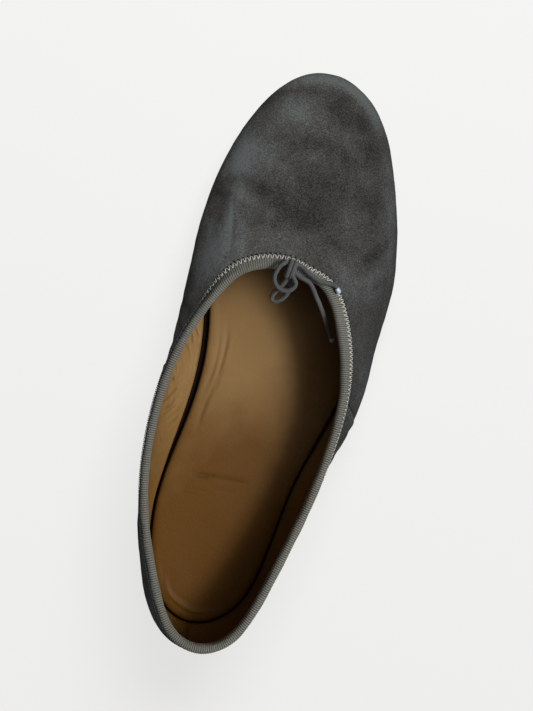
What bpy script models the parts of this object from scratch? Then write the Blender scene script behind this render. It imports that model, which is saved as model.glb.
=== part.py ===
"""A right ballet flat: a hollow suede upper with a ribbon binding and a small cord bow, an insole, a thin outsole
and a low heel.

Metres, +Z up. The toe points along -Y, the wearer's right (the outer side of the foot) is -X, and the sole
stands on Z = 0. Inside the script a place on the shoe is written as (side, along, up): side is across the foot
and positive on the outer side, along runs from the heel's back to the toe, up is above the floor.
"""

import math

import bpy
import numpy as np

# Driving sizes of the last and the upper.
LENGTH = 0.250
BALL_WIDTH = 0.087
HEEL_WIDTH = 0.062
BACK_HEIGHT = 0.040        # collar above the sole at the centre back
INSTEP_HEIGHT = 0.0435     # collar above the sole at the throat
WALL = 0.0018              # suede and lining together
QUARTER_LAP = 0.0004       # how far the quarters stand proud of the vamp at the side seams
SEAM_RUN = 0.0012          # length of the slope of that step, along the outline
LAP_FADE = (0.18, 0.27)    # the lap fades out below the binding, between these shares of the wall from its edge

# Sole.
OUTSOLE_THICKNESS = 0.0030
OUTSOLE_MARGIN = 0.0008    # the outsole's edge beyond the upper's lower edge
OUTSOLE_EDGE = ((0.0012, 0.0), (0.0004, 0.12), (0.0, 0.4), (0.0, 0.8), (0.0005, 1.0))   # (inset, share of height)
HEEL_HEIGHT = 0.0075
HEEL_BREAST = 0.058        # the heel's front face, from the heel's back
HEEL_INSET = 0.0010        # the heel's top inside the outsole's edge
HEEL_EDGE = ((0.0018, 0.0), (0.0010, 0.10), (0.0, 1.0))   # (further inset, share of height)
BALL_START = 0.150         # the forefoot lies flat on the floor from here
BALL_END = 0.200           # to here
TOE_SPRING = 0.0070
INSOLE_THICKNESS = 0.0030
INSOLE_EDGE = ((0.0004, 0.0), (0.0, 0.25), (0.0002, 0.65), (0.0012, 0.92), (0.0034, 1.0))

# Binding, a ribbon folded over the collar's edge round a drawstring.
TAPE = 0.0010
BINDING_OUTSIDE = 0.0040   # depth of the ribbon on the outside
BINDING_INSIDE = 0.0036
CLEARANCE = 0.0003         # between pieces that touch on the real shoe

# Bow.
CORD = 0.0018
KNOT_SIZE = (0.0044, 0.0070, 0.0050)   # side, along, up
KNOT_WAIST = 0.08          # how much slimmer the knot is between its turns and at its ends
TIP_LENGTH = 0.0022
TIP_PROUD = 0.0002

# Mesh fineness.
HALF_STEPS = 40            # steps of the outline from the heel's back to the toe, on each side
WALL_STEPS = 11
CAP_STEPS = 4              # steps across the flat of a sole, from side to side
HEEL_STEPS = 32
FOLD_STEPS = 6
KNOT_STEPS = (8, 16)       # along the knot and round it
CORD_STEP = 0.0022
SPEED_STEP = 1e-3          # difference of row number or height that directions are measured over

# The upper's sections, one for each place round the shoe, from the centre back along the outer side to the toe
# and back along the inner side. The wall runs from its foot, at the sole, to its top, at the collar. "heel" says
# how much of HEEL_WIDTH and BACK_HEIGHT a row follows; the rest is BALL_WIDTH and INSTEP_HEIGHT. Sides are shares
# of that width, alongs of LENGTH and "top_up" of that height. "belly" and "shoulder" push the wall out, as shares
# of BALL_WIDTH, at heights "belly_up" and "shoulder_up", shares of the section's height. "run" leads the wall
# forward from its top, as a share of the way back to its foot, and "drop" leads it down, as a share of the height.
SECTION_COLUMNS = ("heel", "foot_side", "foot_along", "top_side", "top_along", "top_up",
                   "belly", "belly_up", "shoulder", "shoulder_up", "run", "drop")
SECTIONS = {
    "centre back":       (1.0, 0.008, 0.023, 0.008, 0.023, 1.000, 0.088, 0.20, 0.084, 0.50, 0.00, 0.28),
    "outer counter":     (1.0, 0.242, 0.046, 0.218, 0.039, 0.975, 0.070, 0.20, 0.068, 0.50, 0.00, 0.28),
    "outer heel":        (1.0, 0.393, 0.104, 0.360, 0.098, 0.912, 0.048, 0.20, 0.048, 0.50, 0.00, 0.28),
    "outer heel front":  (1.0, 0.460, 0.200, 0.470, 0.196, 0.825, 0.045, 0.20, 0.050, 0.50, 0.00, 0.28),
    "outer waist":       (0.6, 0.454, 0.320, 0.490, 0.316, 0.768, 0.064, 0.20, 0.080, 0.50, 0.00, 0.28),
    "outer seam":        (0.3, 0.522, 0.448, 0.472, 0.454, 0.784, 0.104, 0.20, 0.110, 0.50, 0.15, 0.24),
    "outer ball back":   (0.0, 0.517, 0.568, 0.354, 0.556, 0.874, 0.087, 0.20, 0.072, 0.48, 0.38, 0.16),
    "outer ball":        (0.0, 0.524, 0.688, 0.226, 0.629, 0.966, 0.105, 0.21, 0.048, 0.46, 0.48, 0.14),
    "outer toe side":    (0.0, 0.424, 0.824, 0.109, 0.647, 0.995, 0.124, 0.24, 0.036, 0.42, 0.50, 0.20),
    "outer toe":         (0.0, 0.259, 0.940, 0.040, 0.652, 1.000, 0.126, 0.28, 0.036, 0.40, 0.50, 0.25),
    "toe tip":           (0.0, 0.012, 0.984, -0.012, 0.653, 1.000, 0.132, 0.29, 0.038, 0.39, 0.50, 0.26),
    "inner toe":         (0.0, -0.201, 0.940, -0.063, 0.651, 1.000, 0.124, 0.28, 0.036, 0.40, 0.50, 0.25),
    "inner toe side":    (0.0, -0.346, 0.824, -0.138, 0.643, 0.998, 0.112, 0.24, 0.036, 0.42, 0.48, 0.20),
    "inner ball":        (0.0, -0.397, 0.692, -0.244, 0.614, 0.977, 0.084, 0.21, 0.046, 0.46, 0.44, 0.16),
    "inner ball back":   (0.0, -0.328, 0.572, -0.348, 0.544, 0.931, 0.150, 0.20, 0.140, 0.50, 0.20, 0.24),
    "inner waist":       (0.3, -0.306, 0.452, -0.460, 0.444, 0.883, 0.130, 0.20, 0.187, 0.50, 0.00, 0.30),
    "inner quarter":     (0.6, -0.372, 0.320, -0.512, 0.320, 0.857, 0.080, 0.20, 0.130, 0.50, 0.00, 0.30),
    "inner heel front":  (1.0, -0.456, 0.208, -0.509, 0.212, 0.888, 0.060, 0.20, 0.074, 0.50, 0.00, 0.28),
    "inner heel":        (1.0, -0.385, 0.114, -0.356, 0.120, 0.938, 0.034, 0.20, 0.036, 0.50, 0.00, 0.28),
    "inner counter":     (1.0, -0.226, 0.047, -0.190, 0.050, 0.982, 0.056, 0.20, 0.054, 0.50, 0.00, 0.28),
}
ROWS = {name: row for row, name in enumerate(SECTIONS)}
QUARTERS_END = (ROWS["outer seam"], ROWS["inner waist"])

# The bow's cords, by hand, as (side, along, up) from the knot's middle.
BOW_ROUTES = {
    "bow_loop_upper": [
        (-0.0027, 0.0019, 0.0008), (-0.0043, 0.0002, 0.0010), (-0.0054, -0.0026, 0.0008),
        (-0.0054, -0.0055, 0.0004), (-0.0038, -0.0079, 0.0000), (-0.0013, -0.0090, -0.0002),
        (0.0012, -0.0087, -0.0001), (0.0029, -0.0072, 0.0002), (0.0034, -0.0054, 0.0008),
        (0.0026, -0.0041, 0.0012),
    ],
    "bow_loop_lower": [
        (-0.0002, -0.0041, -0.0016), (-0.0012, -0.0066, -0.0024), (-0.0028, -0.0094, -0.0036),
        (-0.0039, -0.0115, -0.0050), (-0.0038, -0.0132, -0.0062), (-0.0022, -0.0138, -0.0066),
        (-0.0001, -0.0124, -0.0058), (0.0014, -0.0100, -0.0044), (0.0018, -0.0074, -0.0030),
        (0.0015, -0.0046, -0.0019),
    ],
    "bow_end_outer": [
        (0.0026, 0.0023, 0.0000), (0.0047, 0.0018, -0.0002), (0.0067, 0.0007, -0.0004),
        (0.0089, -0.0004, -0.0007), (0.0116, -0.0013, -0.0011), (0.0146, -0.0016, -0.0020),
        (0.0173, -0.0014, -0.0029), (0.0194, -0.0016, -0.0034), (0.0206, -0.0026, -0.0038),
    ],
    "bow_end_inner": [
        (0.0027, -0.0014, 0.0000), (0.0046, -0.0022, -0.0002), (0.0069, -0.0027, -0.0006),
        (0.0092, -0.0036, -0.0013), (0.0112, -0.0054, -0.0027), (0.0132, -0.0076, -0.0050),
        (0.0157, -0.0099, -0.0086), (0.0188, -0.0132, -0.0130), (0.0224, -0.0174, -0.0184),
        (0.0262, -0.0216, -0.0238),
    ],
}
KNOT_PLACE = (0.0020, -0.0011, 0.0040)   # the knot's middle, from the upper's edge at the throat

MATERIALS = {
    "suede":   ((0.075, 0.078, 0.078), 0.95),
    "ribbon":  ((0.150, 0.148, 0.130), 0.80),
    "lining":  ((0.330, 0.200, 0.100), 0.55),
    "cord":    ((0.085, 0.092, 0.095), 0.75),
    "cord_tip": ((0.560, 0.600, 0.680), 0.35),
    "leather_sole": ((0.300, 0.200, 0.120), 0.60),
    "rubber":  ((0.040, 0.038, 0.036), 0.70),
}


def smooth_step(share):
    share = np.clip(share, 0.0, 1.0)
    return share * share * (3.0 - 2.0 * share)


def tread_up(along):
    """Height of the outsole's underside: the heel's height, then down the waist to the floor, then toe spring."""
    along = np.asarray(along, float)
    waist = HEEL_HEIGHT * (1.0 - smooth_step((along - HEEL_BREAST) / (BALL_START - HEEL_BREAST)))
    toe = TOE_SPRING * np.maximum((along - BALL_END) / (LENGTH - BALL_END), 0.0) ** 2
    return waist + toe


def sole_top(along):
    return tread_up(along) + OUTSOLE_THICKNESS


def closed_spline(values, at):
    """A smooth closed curve through the rows of values, read at row numbers: a periodic cubic B-spline whose
    control points are solved so that it passes through every row."""
    count = len(values)
    one = np.eye(count)
    through = (4.0 * one + np.roll(one, 1, axis=1) + np.roll(one, -1, axis=1)) / 6.0
    control = np.linalg.solve(through, values)
    at = np.asarray(at, float)
    first = np.floor(at).astype(int)
    t = (at - first)[..., None]
    weights = ((1 - t) ** 3, 3 * t**3 - 6 * t**2 + 4, -3 * t**3 + 3 * t**2 + 3 * t + 1, t**3)
    return sum(w * control[(first + k - 1) % count] for k, w in enumerate(weights)) / 6.0


def section_table():
    """The sections in metres, one column array for each name."""
    rows = dict(zip(SECTION_COLUMNS, np.array(list(SECTIONS.values()), float).T))
    width = rows["heel"] * HEEL_WIDTH + (1.0 - rows["heel"]) * BALL_WIDTH
    height = rows["heel"] * BACK_HEIGHT + (1.0 - rows["heel"]) * INSTEP_HEIGHT
    top_along = rows["top_along"] * LENGTH
    return np.stack([
        rows["foot_side"] * width, rows["foot_along"] * LENGTH,
        rows["top_side"] * width, top_along, rows["top_up"] * height,
        rows["belly"] * BALL_WIDTH, rows["belly_up"], rows["shoulder"] * BALL_WIDTH, rows["shoulder_up"],
        rows["run"], rows["drop"],
    ], axis=1)


TABLE = section_table()


def foot_line(u):
    """The plan, (side, along), of the wall's foot."""
    return closed_spline(TABLE[:, :2], u)


def plan_normal(u):
    """The foot line's outward direction in plan."""
    run = foot_line(u + SPEED_STEP) - foot_line(u - SPEED_STEP)
    normal = np.stack([run[..., 1], -run[..., 0]], axis=-1)
    return normal / np.linalg.norm(normal, axis=-1, keepdims=True)


def upper_surface(u, v):
    """The upper's outside. u is the section's row number round the shoe and v runs from the foot, 0, to the
    collar, 1. Each section is one Bezier curve of five points: the foot, a belly, a shoulder, a point that
    leads to the collar, and the collar."""
    u, v = np.broadcast_arrays(np.asarray(u, float), np.asarray(v, float))
    row = closed_spline(TABLE, u)
    (foot_side, foot_along, top_side, top_along, top_rise,
     belly, belly_up, shoulder, shoulder_up, run, drop) = (row[..., k] for k in range(row.shape[-1]))
    out = plan_normal(u)
    out = np.concatenate([out, np.zeros_like(out[..., :1])], axis=-1)
    foot = np.stack([foot_side, foot_along, sole_top(foot_along) + CLEARANCE], axis=-1)
    top = np.stack([top_side, top_along, sole_top(top_along) + top_rise], axis=-1)
    height = (top - foot)[..., 2]
    up = np.array([0.0, 0.0, 1.0])
    back = (foot - top) * np.array([1.0, 1.0, 0.0])
    points = (
        foot,
        foot + out * belly[..., None] + up * (belly_up * height)[..., None],
        foot + out * shoulder[..., None] + up * (shoulder_up * height)[..., None],
        top + back * run[..., None] - up * (drop * height)[..., None],
        top,
    )
    degree = len(points) - 1
    v = v[..., None]
    return sum(math.comb(degree, k) * v**k * (1 - v) ** (degree - k) * p for k, p in enumerate(points))


def upper_frame(u, v):
    """The outward normal, and the way down the wall per unit of v, at (u, v)."""
    across = upper_surface(u + SPEED_STEP, v) - upper_surface(u - SPEED_STEP, v)
    rise = (upper_surface(u, v + SPEED_STEP) - upper_surface(u, v - SPEED_STEP)) / (2 * SPEED_STEP)
    normal = np.cross(across, rise)
    return normal / np.linalg.norm(normal, axis=-1, keepdims=True), -rise


def even_rows(start, end, steps):
    """Row numbers from start to end at equal distances along the foot line."""
    fine = np.linspace(start, end, 2000)
    length = np.linalg.norm(np.diff(foot_line(fine), axis=0), axis=1).cumsum()
    return np.interp(np.linspace(0.0, length[-1], steps + 1), np.concatenate([[0.0], length]), fine)


def outline_rows():
    """Row numbers round the shoe: from the centre back along the outer side to the toe tip, then back."""
    outer = even_rows(0.0, ROWS["toe tip"], HALF_STEPS)
    inner = even_rows(ROWS["toe tip"], len(SECTIONS), HALF_STEPS)
    return np.concatenate([outer, inner[1:-1]])


def seam_rows():
    """Row numbers just before and after each side seam, so that the step in the wall is short."""
    pairs = []
    for seam in QUARTERS_END:
        speed = np.linalg.norm(foot_line(seam + SPEED_STEP) - foot_line(seam - SPEED_STEP)) / (2 * SPEED_STEP)
        half = SEAM_RUN / 2 / speed
        pairs += [seam - half, seam + half]
    return pairs


def quarter_lap(u):
    """How far the wall stands proud at a row: the whole lap on the quarters, nothing on the vamp."""
    outer, inner = QUARTERS_END
    u = np.asarray(u, float)
    return np.where((u < outer) | (u > inner), QUARTER_LAP, 0.0)


def new_material(name):
    colour, roughness = MATERIALS[name]
    made = bpy.data.materials.new(name)
    made.use_nodes = True
    shader = made.node_tree.nodes["Principled BSDF"]
    shader.inputs["Base Color"].default_value = (*colour, 1.0)
    shader.inputs["Roughness"].default_value = roughness
    made.diffuse_color = (*colour, 1.0)
    return made


def to_world(points):
    """Places on the shoe, (side, along, up), as world coordinates: the outer side is -X and the toe is -Y."""
    return np.asarray(points, float) * np.array([-1.0, -1.0, 1.0])


def add_object(name, data, material, parent):
    data.materials.append(bpy.data.materials.get(material) or new_material(material))
    made = bpy.data.objects.new(name, data)
    bpy.context.scene.collection.objects.link(made)
    made.parent = parent
    return made


def add_mesh(name, points, faces, material, parent, sharp_deg=35.0):
    mesh = bpy.data.meshes.new(name)
    mesh.from_pydata(to_world(points).tolist(), [], faces)
    mesh.update()
    mesh.shade_smooth()
    mesh.set_sharp_from_angle(angle=math.radians(sharp_deg))
    return add_object(name, mesh, material, parent)


def ring_faces(rings, count, closed_profile):
    """Quads between successive rings of count points. closed_profile joins the last ring to the first."""
    pairs = [(k, k + 1) for k in range(rings - 1)]
    if closed_profile:
        pairs.append((rings - 1, 0))
    return [(a * count + i, a * count + (i + 1) % count, b * count + (i + 1) % count, b * count + i)
            for a, b in pairs for i in range(count)]


def upper(parent):
    """The wall's outside and inside as rings from the foot to the collar, joined at both edges."""
    u = np.sort(np.concatenate([outline_rows(), seam_rows()]))
    outer, inner = [], []
    for v in np.linspace(0.0, 1.0, WALL_STEPS + 1):
        surface = upper_surface(u, v)
        normal, _ = upper_frame(u, v)
        below, gone = LAP_FADE
        lap = quarter_lap(u) * smooth_step((1.0 - v - below) / (gone - below))
        outer.append(surface + normal * lap[:, None])
        inner.append(surface - normal * WALL)
    for foot in (outer[0], inner[0]):
        foot[:, 2] = upper_surface(u, 0.0)[:, 2]
    rings = outer + inner[::-1]
    faces = ring_faces(len(rings), len(u), closed_profile=True)
    return add_mesh("upper", np.concatenate(rings), faces, "suede", parent)


def binding_profile():
    """The ribbon's section, folded over the wall: (distance down the wall from its edge, distance out from the
    wall's outside). The fold is a half circle round the wall's edge."""
    fold = WALL / 2 + CLEARANCE + TAPE
    slot_in = -WALL - CLEARANCE
    turn = np.linspace(0.0, math.pi, FOLD_STEPS + 1)
    arc = [(-fold * math.sin(a), -WALL / 2 + fold * math.cos(a)) for a in turn]
    return [
        (BINDING_OUTSIDE, CLEARANCE), (BINDING_OUTSIDE, CLEARANCE + 0.5 * TAPE),
        (BINDING_OUTSIDE - 0.5 * TAPE, CLEARANCE + TAPE), (0.5 * BINDING_OUTSIDE, CLEARANCE + TAPE), *arc,
        (0.5 * BINDING_INSIDE, slot_in - TAPE), (BINDING_INSIDE - 0.5 * TAPE, slot_in - TAPE),
        (BINDING_INSIDE, slot_in - 0.5 * TAPE), (BINDING_INSIDE, slot_in), (0.5 * BINDING_INSIDE, slot_in),
        (-CLEARANCE, slot_in), (-CLEARANCE, CLEARANCE), (0.5 * BINDING_OUTSIDE, CLEARANCE),
    ]


def collar_place(u, down, out):
    """A place by the collar: down the wall from its edge, or past the edge where down is negative, and out."""
    edge = np.ones_like(u)
    _, fall = upper_frame(u, edge)
    speed = np.linalg.norm(fall, axis=-1)
    v = 1.0 - max(down, 0.0) / speed
    normal, fall = upper_frame(u, v)
    way = fall / np.linalg.norm(fall, axis=-1, keepdims=True)
    return upper_surface(u, v) + way * min(down, 0.0) + normal * out


def binding(parent):
    u = outline_rows()
    rings = [collar_place(u, down, out) for down, out in binding_profile()]
    faces = ring_faces(len(rings), len(u), closed_profile=True)
    return add_mesh("binding", np.concatenate(rings), faces, "ribbon", parent, sharp_deg=50.0)


def crossing(j, base, count, start):
    """The point numbers across a plate at a station, from the outer edge to the inner one. The ring's own points
    start at base, and the points inside it, CAP_STEPS - 1 for each station, at start."""
    if j in (0, count // 2):
        return [base + j] * (CAP_STEPS + 1)
    row = start + (j - 1) * (CAP_STEPS - 1)
    return [base + j, *range(row, row + CAP_STEPS - 1), base + count - j]


def slab(name, margin, edge, bottom, top, material, parent):
    """A plate over the foot line's outline. margin moves the outline out. edge is the side's section from the
    bottom to the top: (inset, share of the height). bottom and top give heights along the shoe."""
    u = outline_rows()
    count = len(u)
    plan = foot_line(u)
    normal = plan_normal(u)
    rings = []
    for inset, share in edge:
        place = plan + normal * (margin - inset)
        low, high = bottom(place[:, 1]), top(place[:, 1])
        rings.append(np.column_stack([place, low + (high - low) * share]))
    faces = ring_faces(len(rings), count, closed_profile=False)
    points = list(rings)
    start = len(rings) * count
    half = count // 2
    share = np.linspace(0.0, 1.0, CAP_STEPS + 1)[1:-1, None]
    for ring, level, turned in ((0, bottom, True), (len(rings) - 1, top, False)):
        border = rings[ring]
        inside = np.concatenate([border[j] * (1 - share) + border[count - j] * share for j in range(1, half)])
        inside[:, 2] = level(inside[:, 1])
        points.append(inside)
        rows = [crossing(j, ring * count, count, start) for j in range(half + 1)]
        for here, ahead in zip(rows, rows[1:]):
            for a, b, c, d in zip(here, here[1:], ahead[1:], ahead):
                face = [a, d, c, b]
                face = [p for k, p in enumerate(face) if p != face[k - 1]]
                faces.append(tuple(face[::-1] if turned else face))
        start += len(inside)
    return add_mesh(name, np.concatenate(points), faces, material, parent)


def outsole(parent):
    return slab("outsole", OUTSOLE_MARGIN, OUTSOLE_EDGE, tread_up, sole_top, "leather_sole", parent)


def insole_bottom(along):
    return sole_top(along) + CLEARANCE


def insole_top(along):
    return insole_bottom(along) + INSOLE_THICKNESS


def insole(parent):
    return slab("insole", -(WALL + CLEARANCE), INSOLE_EDGE, insole_bottom, insole_top, "lining", parent)


def breast_rows():
    """Row numbers round the heel block: the foot line's stretch behind the breast."""
    fine = np.linspace(0.0, ROWS["toe tip"], 4000)
    outer = np.interp(HEEL_BREAST, foot_line(fine)[:, 1], fine)
    fine = np.linspace(ROWS["toe tip"], len(SECTIONS), 4000)
    inner = np.interp(-HEEL_BREAST, -foot_line(fine)[:, 1], fine)
    return np.linspace(inner - len(SECTIONS), outer, HEEL_STEPS + 1)


def heel(parent):
    """The low heel: the outsole's outline behind the breast, drawn in a little to the floor."""
    u = breast_rows()
    plan = foot_line(u)
    normal = plan_normal(u)
    rings = []
    for inset, share in HEEL_EDGE:
        place = plan + normal * (OUTSOLE_MARGIN - HEEL_INSET - inset)
        place[:, 1] = np.minimum(place[:, 1], HEEL_BREAST)
        rings.append(np.column_stack([place, np.full(len(u), share * (HEEL_HEIGHT - CLEARANCE))]))
    count = len(u)
    faces = ring_faces(len(rings), count, closed_profile=False)
    last = (len(rings) - 1) * count
    faces.append(tuple(range(count))[::-1])
    faces.append(tuple(range(last, last + count)))
    return add_mesh("heel", np.concatenate(rings), faces, "rubber", parent)


def knot_middle():
    edge = upper_surface(float(ROWS["toe tip"]), 1.0)
    return edge + np.array(KNOT_PLACE)


def bow_knot(parent):
    """A rounded barrel, as the lace wrapped twice round the bundle of loops and ends."""
    stations, around = KNOT_STEPS
    middle = knot_middle()
    size = np.array(KNOT_SIZE) / 2
    angle = np.linspace(0.0, 2 * math.pi, around, endpoint=False)
    rings = []
    for share in np.linspace(-1.0, 1.0, stations + 1)[1:-1]:
        radius = math.sqrt(1.0 - abs(share) ** 3) * (1.0 - KNOT_WAIST * math.cos(math.pi * share) ** 2)
        rings.append(np.column_stack([
            np.full(around, middle[0] + size[0] * share),
            middle[1] + size[1] * radius * np.cos(angle),
            middle[2] + size[2] * radius * np.sin(angle),
        ]))
    faces = ring_faces(len(rings), around, closed_profile=False)
    ends = [middle - [size[0], 0, 0], middle + [size[0], 0, 0]]
    first = len(rings) * around
    last_ring = first - around
    for i in range(around):
        j = (i + 1) % around
        faces.append((first, j, i))
        faces.append((first + 1, last_ring + i, last_ring + j))
    return add_mesh("bow_knot", np.concatenate([*rings, ends]), faces, "cord", parent)


def route_points(points, step):
    """Even points along a smooth curve through a hand-chosen route (Catmull-Rom)."""
    knots = np.array(points, float)
    knots = np.concatenate([[2 * knots[0] - knots[1]], knots, [2 * knots[-1] - knots[-2]]])
    t = np.linspace(0.0, 1.0, 40, endpoint=False)[:, None]
    fine = []
    for a, b, c, d in zip(knots, knots[1:], knots[2:], knots[3:]):
        bend = 2 * a - 5 * b + 4 * c - d
        twist = 3 * b - a - 3 * c + d
        fine.append(b + 0.5 * ((c - a) * t + bend * t**2 + twist * t**3))
    fine = np.concatenate([*fine, [knots[-2]]])
    length = np.concatenate([[0.0], np.linalg.norm(np.diff(fine, axis=0), axis=1).cumsum()])
    at = np.linspace(0.0, length[-1], max(2, round(length[-1] / step)) + 1)
    return np.stack([np.interp(at, length, fine[:, k]) for k in range(3)], axis=1)


def tube(name, points, diameter, material, parent):
    curve = bpy.data.curves.new(name, "CURVE")
    curve.dimensions = "3D"
    curve.bevel_depth = diameter / 2
    curve.bevel_resolution = 2
    curve.use_fill_caps = True
    spline = curve.splines.new("POLY")
    spline.points.add(len(points) - 1)
    spline.points.foreach_set("co", np.column_stack([to_world(points), np.ones(len(points))]).ravel())
    return add_object(name, curve, material, parent)


def bow(parent):
    bow_knot(parent)
    middle = knot_middle()
    for name, route in BOW_ROUTES.items():
        points = route_points(middle + np.array(route), CORD_STEP)
        tube(name, points, CORD, "cord", parent)
        if name.startswith("bow_end"):
            way = points[-1] - points[-2]
            way /= np.linalg.norm(way)
            start = points[-1] + way * CLEARANCE
            tip = [start, start + way * TIP_LENGTH / 2, start + way * TIP_LENGTH]
            tube(name.replace("end", "tip"), np.array(tip), CORD + 2 * TIP_PROUD, "cord_tip", parent)


def centre_over_origin(shoe):
    """Moves the shoe's parent so that the middle of its box, without the bow, is over the origin."""
    corners = np.concatenate([
        [v.co[:] for v in piece.data.vertices] for piece in shoe.children if piece.type == "MESH"])
    middle = (corners.min(axis=0) + corners.max(axis=0)) / 2
    shoe.location = (-middle[0], -middle[1], 0.0)


def main():
    for old in list(bpy.data.objects):
        bpy.data.objects.remove(old)
    shoe = bpy.data.objects.new("ballet_flat", None)
    bpy.context.scene.collection.objects.link(shoe)
    for piece in (outsole, heel, insole, upper, binding):
        piece(shoe)
    centre_over_origin(shoe)
    bow(shoe)


main()
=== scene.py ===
# %% [markdown]
# # A suede ballet flat
#
# A ballet flat is a very small construction: a soft upper of suede lined with thin leather, a ribbon folded over
# its edge with a lace running inside it, a sock of leather to stand on, a thin sole and a low heel. This file
# builds what the eye sees of each of them round a frame that is already measured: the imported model, whose solids
# say where every piece lies. Each step starts with a few words on the real thing and on the way chosen here.
#
# Lengths are in metres. The toe points along -Y, the outer side of the foot is -X and the floor is Z = 0.

# %% Load the frame and keep its box
import math

import bmesh
import bpy
import numpy as np
from mathutils import Matrix, Vector


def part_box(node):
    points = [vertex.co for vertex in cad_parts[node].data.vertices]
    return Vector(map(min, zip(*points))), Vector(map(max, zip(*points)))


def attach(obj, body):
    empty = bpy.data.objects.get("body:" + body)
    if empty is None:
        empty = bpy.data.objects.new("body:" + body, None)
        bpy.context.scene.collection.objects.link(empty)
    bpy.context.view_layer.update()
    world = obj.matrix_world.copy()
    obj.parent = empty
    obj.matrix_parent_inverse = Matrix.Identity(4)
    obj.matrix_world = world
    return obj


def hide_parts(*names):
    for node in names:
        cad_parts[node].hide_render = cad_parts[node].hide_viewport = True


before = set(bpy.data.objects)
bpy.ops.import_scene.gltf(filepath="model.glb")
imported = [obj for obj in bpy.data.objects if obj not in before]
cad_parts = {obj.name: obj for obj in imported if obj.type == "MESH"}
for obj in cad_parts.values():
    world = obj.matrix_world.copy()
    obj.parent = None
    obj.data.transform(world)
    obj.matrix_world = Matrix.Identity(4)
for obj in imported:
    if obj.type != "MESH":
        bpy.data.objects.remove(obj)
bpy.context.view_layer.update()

# %% [markdown]
# ## The camera
#
# The shoe was seen from straight above, about half a metre up and a little to its inner side, and it lies turned by
# some fifteen degrees in the picture. A camera has a place, a point it looks at and a roll. The place fixes the
# perspective: how much of the inside shows and how the walls lean. The roll turns the shoe in the picture. Only the
# lens is free, and it is long enough for the one shoe to fill the frame. The camera could be flown by hand until
# the picture looks right, but numbers can be measured against it and kept.

# %% Camera
CAMERA_PLACE = Vector((0.0495, 0.0033, 0.5200))
CAMERA_AIM = Vector((0.0023, -0.0015, 0.0200))
PICTURE_UP = Vector((0.2541, -0.9671, 0.0))
LENS = 60.0

camera = bpy.data.objects.new("camera", bpy.data.cameras.new("camera"))
bpy.context.scene.collection.objects.link(camera)
bpy.context.scene.camera = camera
back = (CAMERA_PLACE - CAMERA_AIM).normalized()
right = PICTURE_UP.cross(back).normalized()
turn = Matrix((right, back.cross(right), back)).transposed()
camera.matrix_world = Matrix.Translation(CAMERA_PLACE) @ turn.to_4x4()
camera.data.lens = LENS
camera.data.clip_start, camera.data.clip_end = 0.01, 20.0
print("camera:", round(math.degrees(math.acos(back.z)), 1), "degrees off the vertical")

# %% [markdown]
# ## Places on the shoe
#
# A shoemaker doesn't think in x and y. A place on a shoe is so far across the foot, so far along it from the heel's
# back, and so high. The functions below use (side, along, up), with side positive on the outer side, and one
# function turns such places into the frame's coordinates. Turning by half a circle keeps left and right as they
# are.

# %% From places on the shoe to the frame
MIDDLE_SIDE, MIDDLE_ALONG = 0.005511, 0.125121
MM = 0.001


def to_frame(places):
    """x is the middle's side less the side, y the middle's along less the along, and z is the height."""
    return np.asarray(places, float) * (-1, -1, 1) + (MIDDLE_SIDE, MIDDLE_ALONG, 0)


def smooth_step(share):
    """3 s^2 - 2 s^3 between 0 and 1: a step with soft ends."""
    share = np.clip(share, 0.0, 1.0)
    return share * share * (3.0 - 2.0 * share)


def bell(gap, breadth):
    """exp(-q), q the squared gap in breadths."""
    return np.exp(-(gap / breadth) ** 2)


def unit(vectors):
    return vectors / np.maximum(np.linalg.norm(vectors, axis=-1, keepdims=True), 1e-12)


def distances(way):
    """How far each point of a way is from its start, along the way."""
    return np.r_[0, np.linalg.norm(np.diff(way, axis=0), axis=1).cumsum()]


# %% [markdown]
# ## The lines of the last
#
# The upper takes its shape from a last, the wooden foot it is pulled over. Its sections round the shoe are one
# small table, the same one that the frame's solids were made from: where the wall stands on the sole, where its top
# is, and how far it bulges between. A periodic B-spline runs through the rows, so the wall is smooth all the way
# round, and each section is a Bezier curve of five points. The wall could be sculpted by eye, but then it would
# stray from the solids that it stands for.

# %% Sizes and the table of sections
LENGTH, BALL_WIDTH, HEEL_WIDTH = 0.250, 0.087, 0.062
BACK_HEIGHT, INSTEP_HEIGHT, WALL = 0.040, 0.0435, 0.0018
OUTSOLE_THICKNESS, OUTSOLE_MARGIN, HEEL_HEIGHT, HEEL_BREAST = 0.0030, 0.0008, 0.0075, 0.058
BALL_START, BALL_END, TOE_SPRING, INSOLE_THICKNESS = 0.150, 0.200, 0.0070, 0.0030
CLEARANCE, STEP = 0.0003, 1e-3

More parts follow.
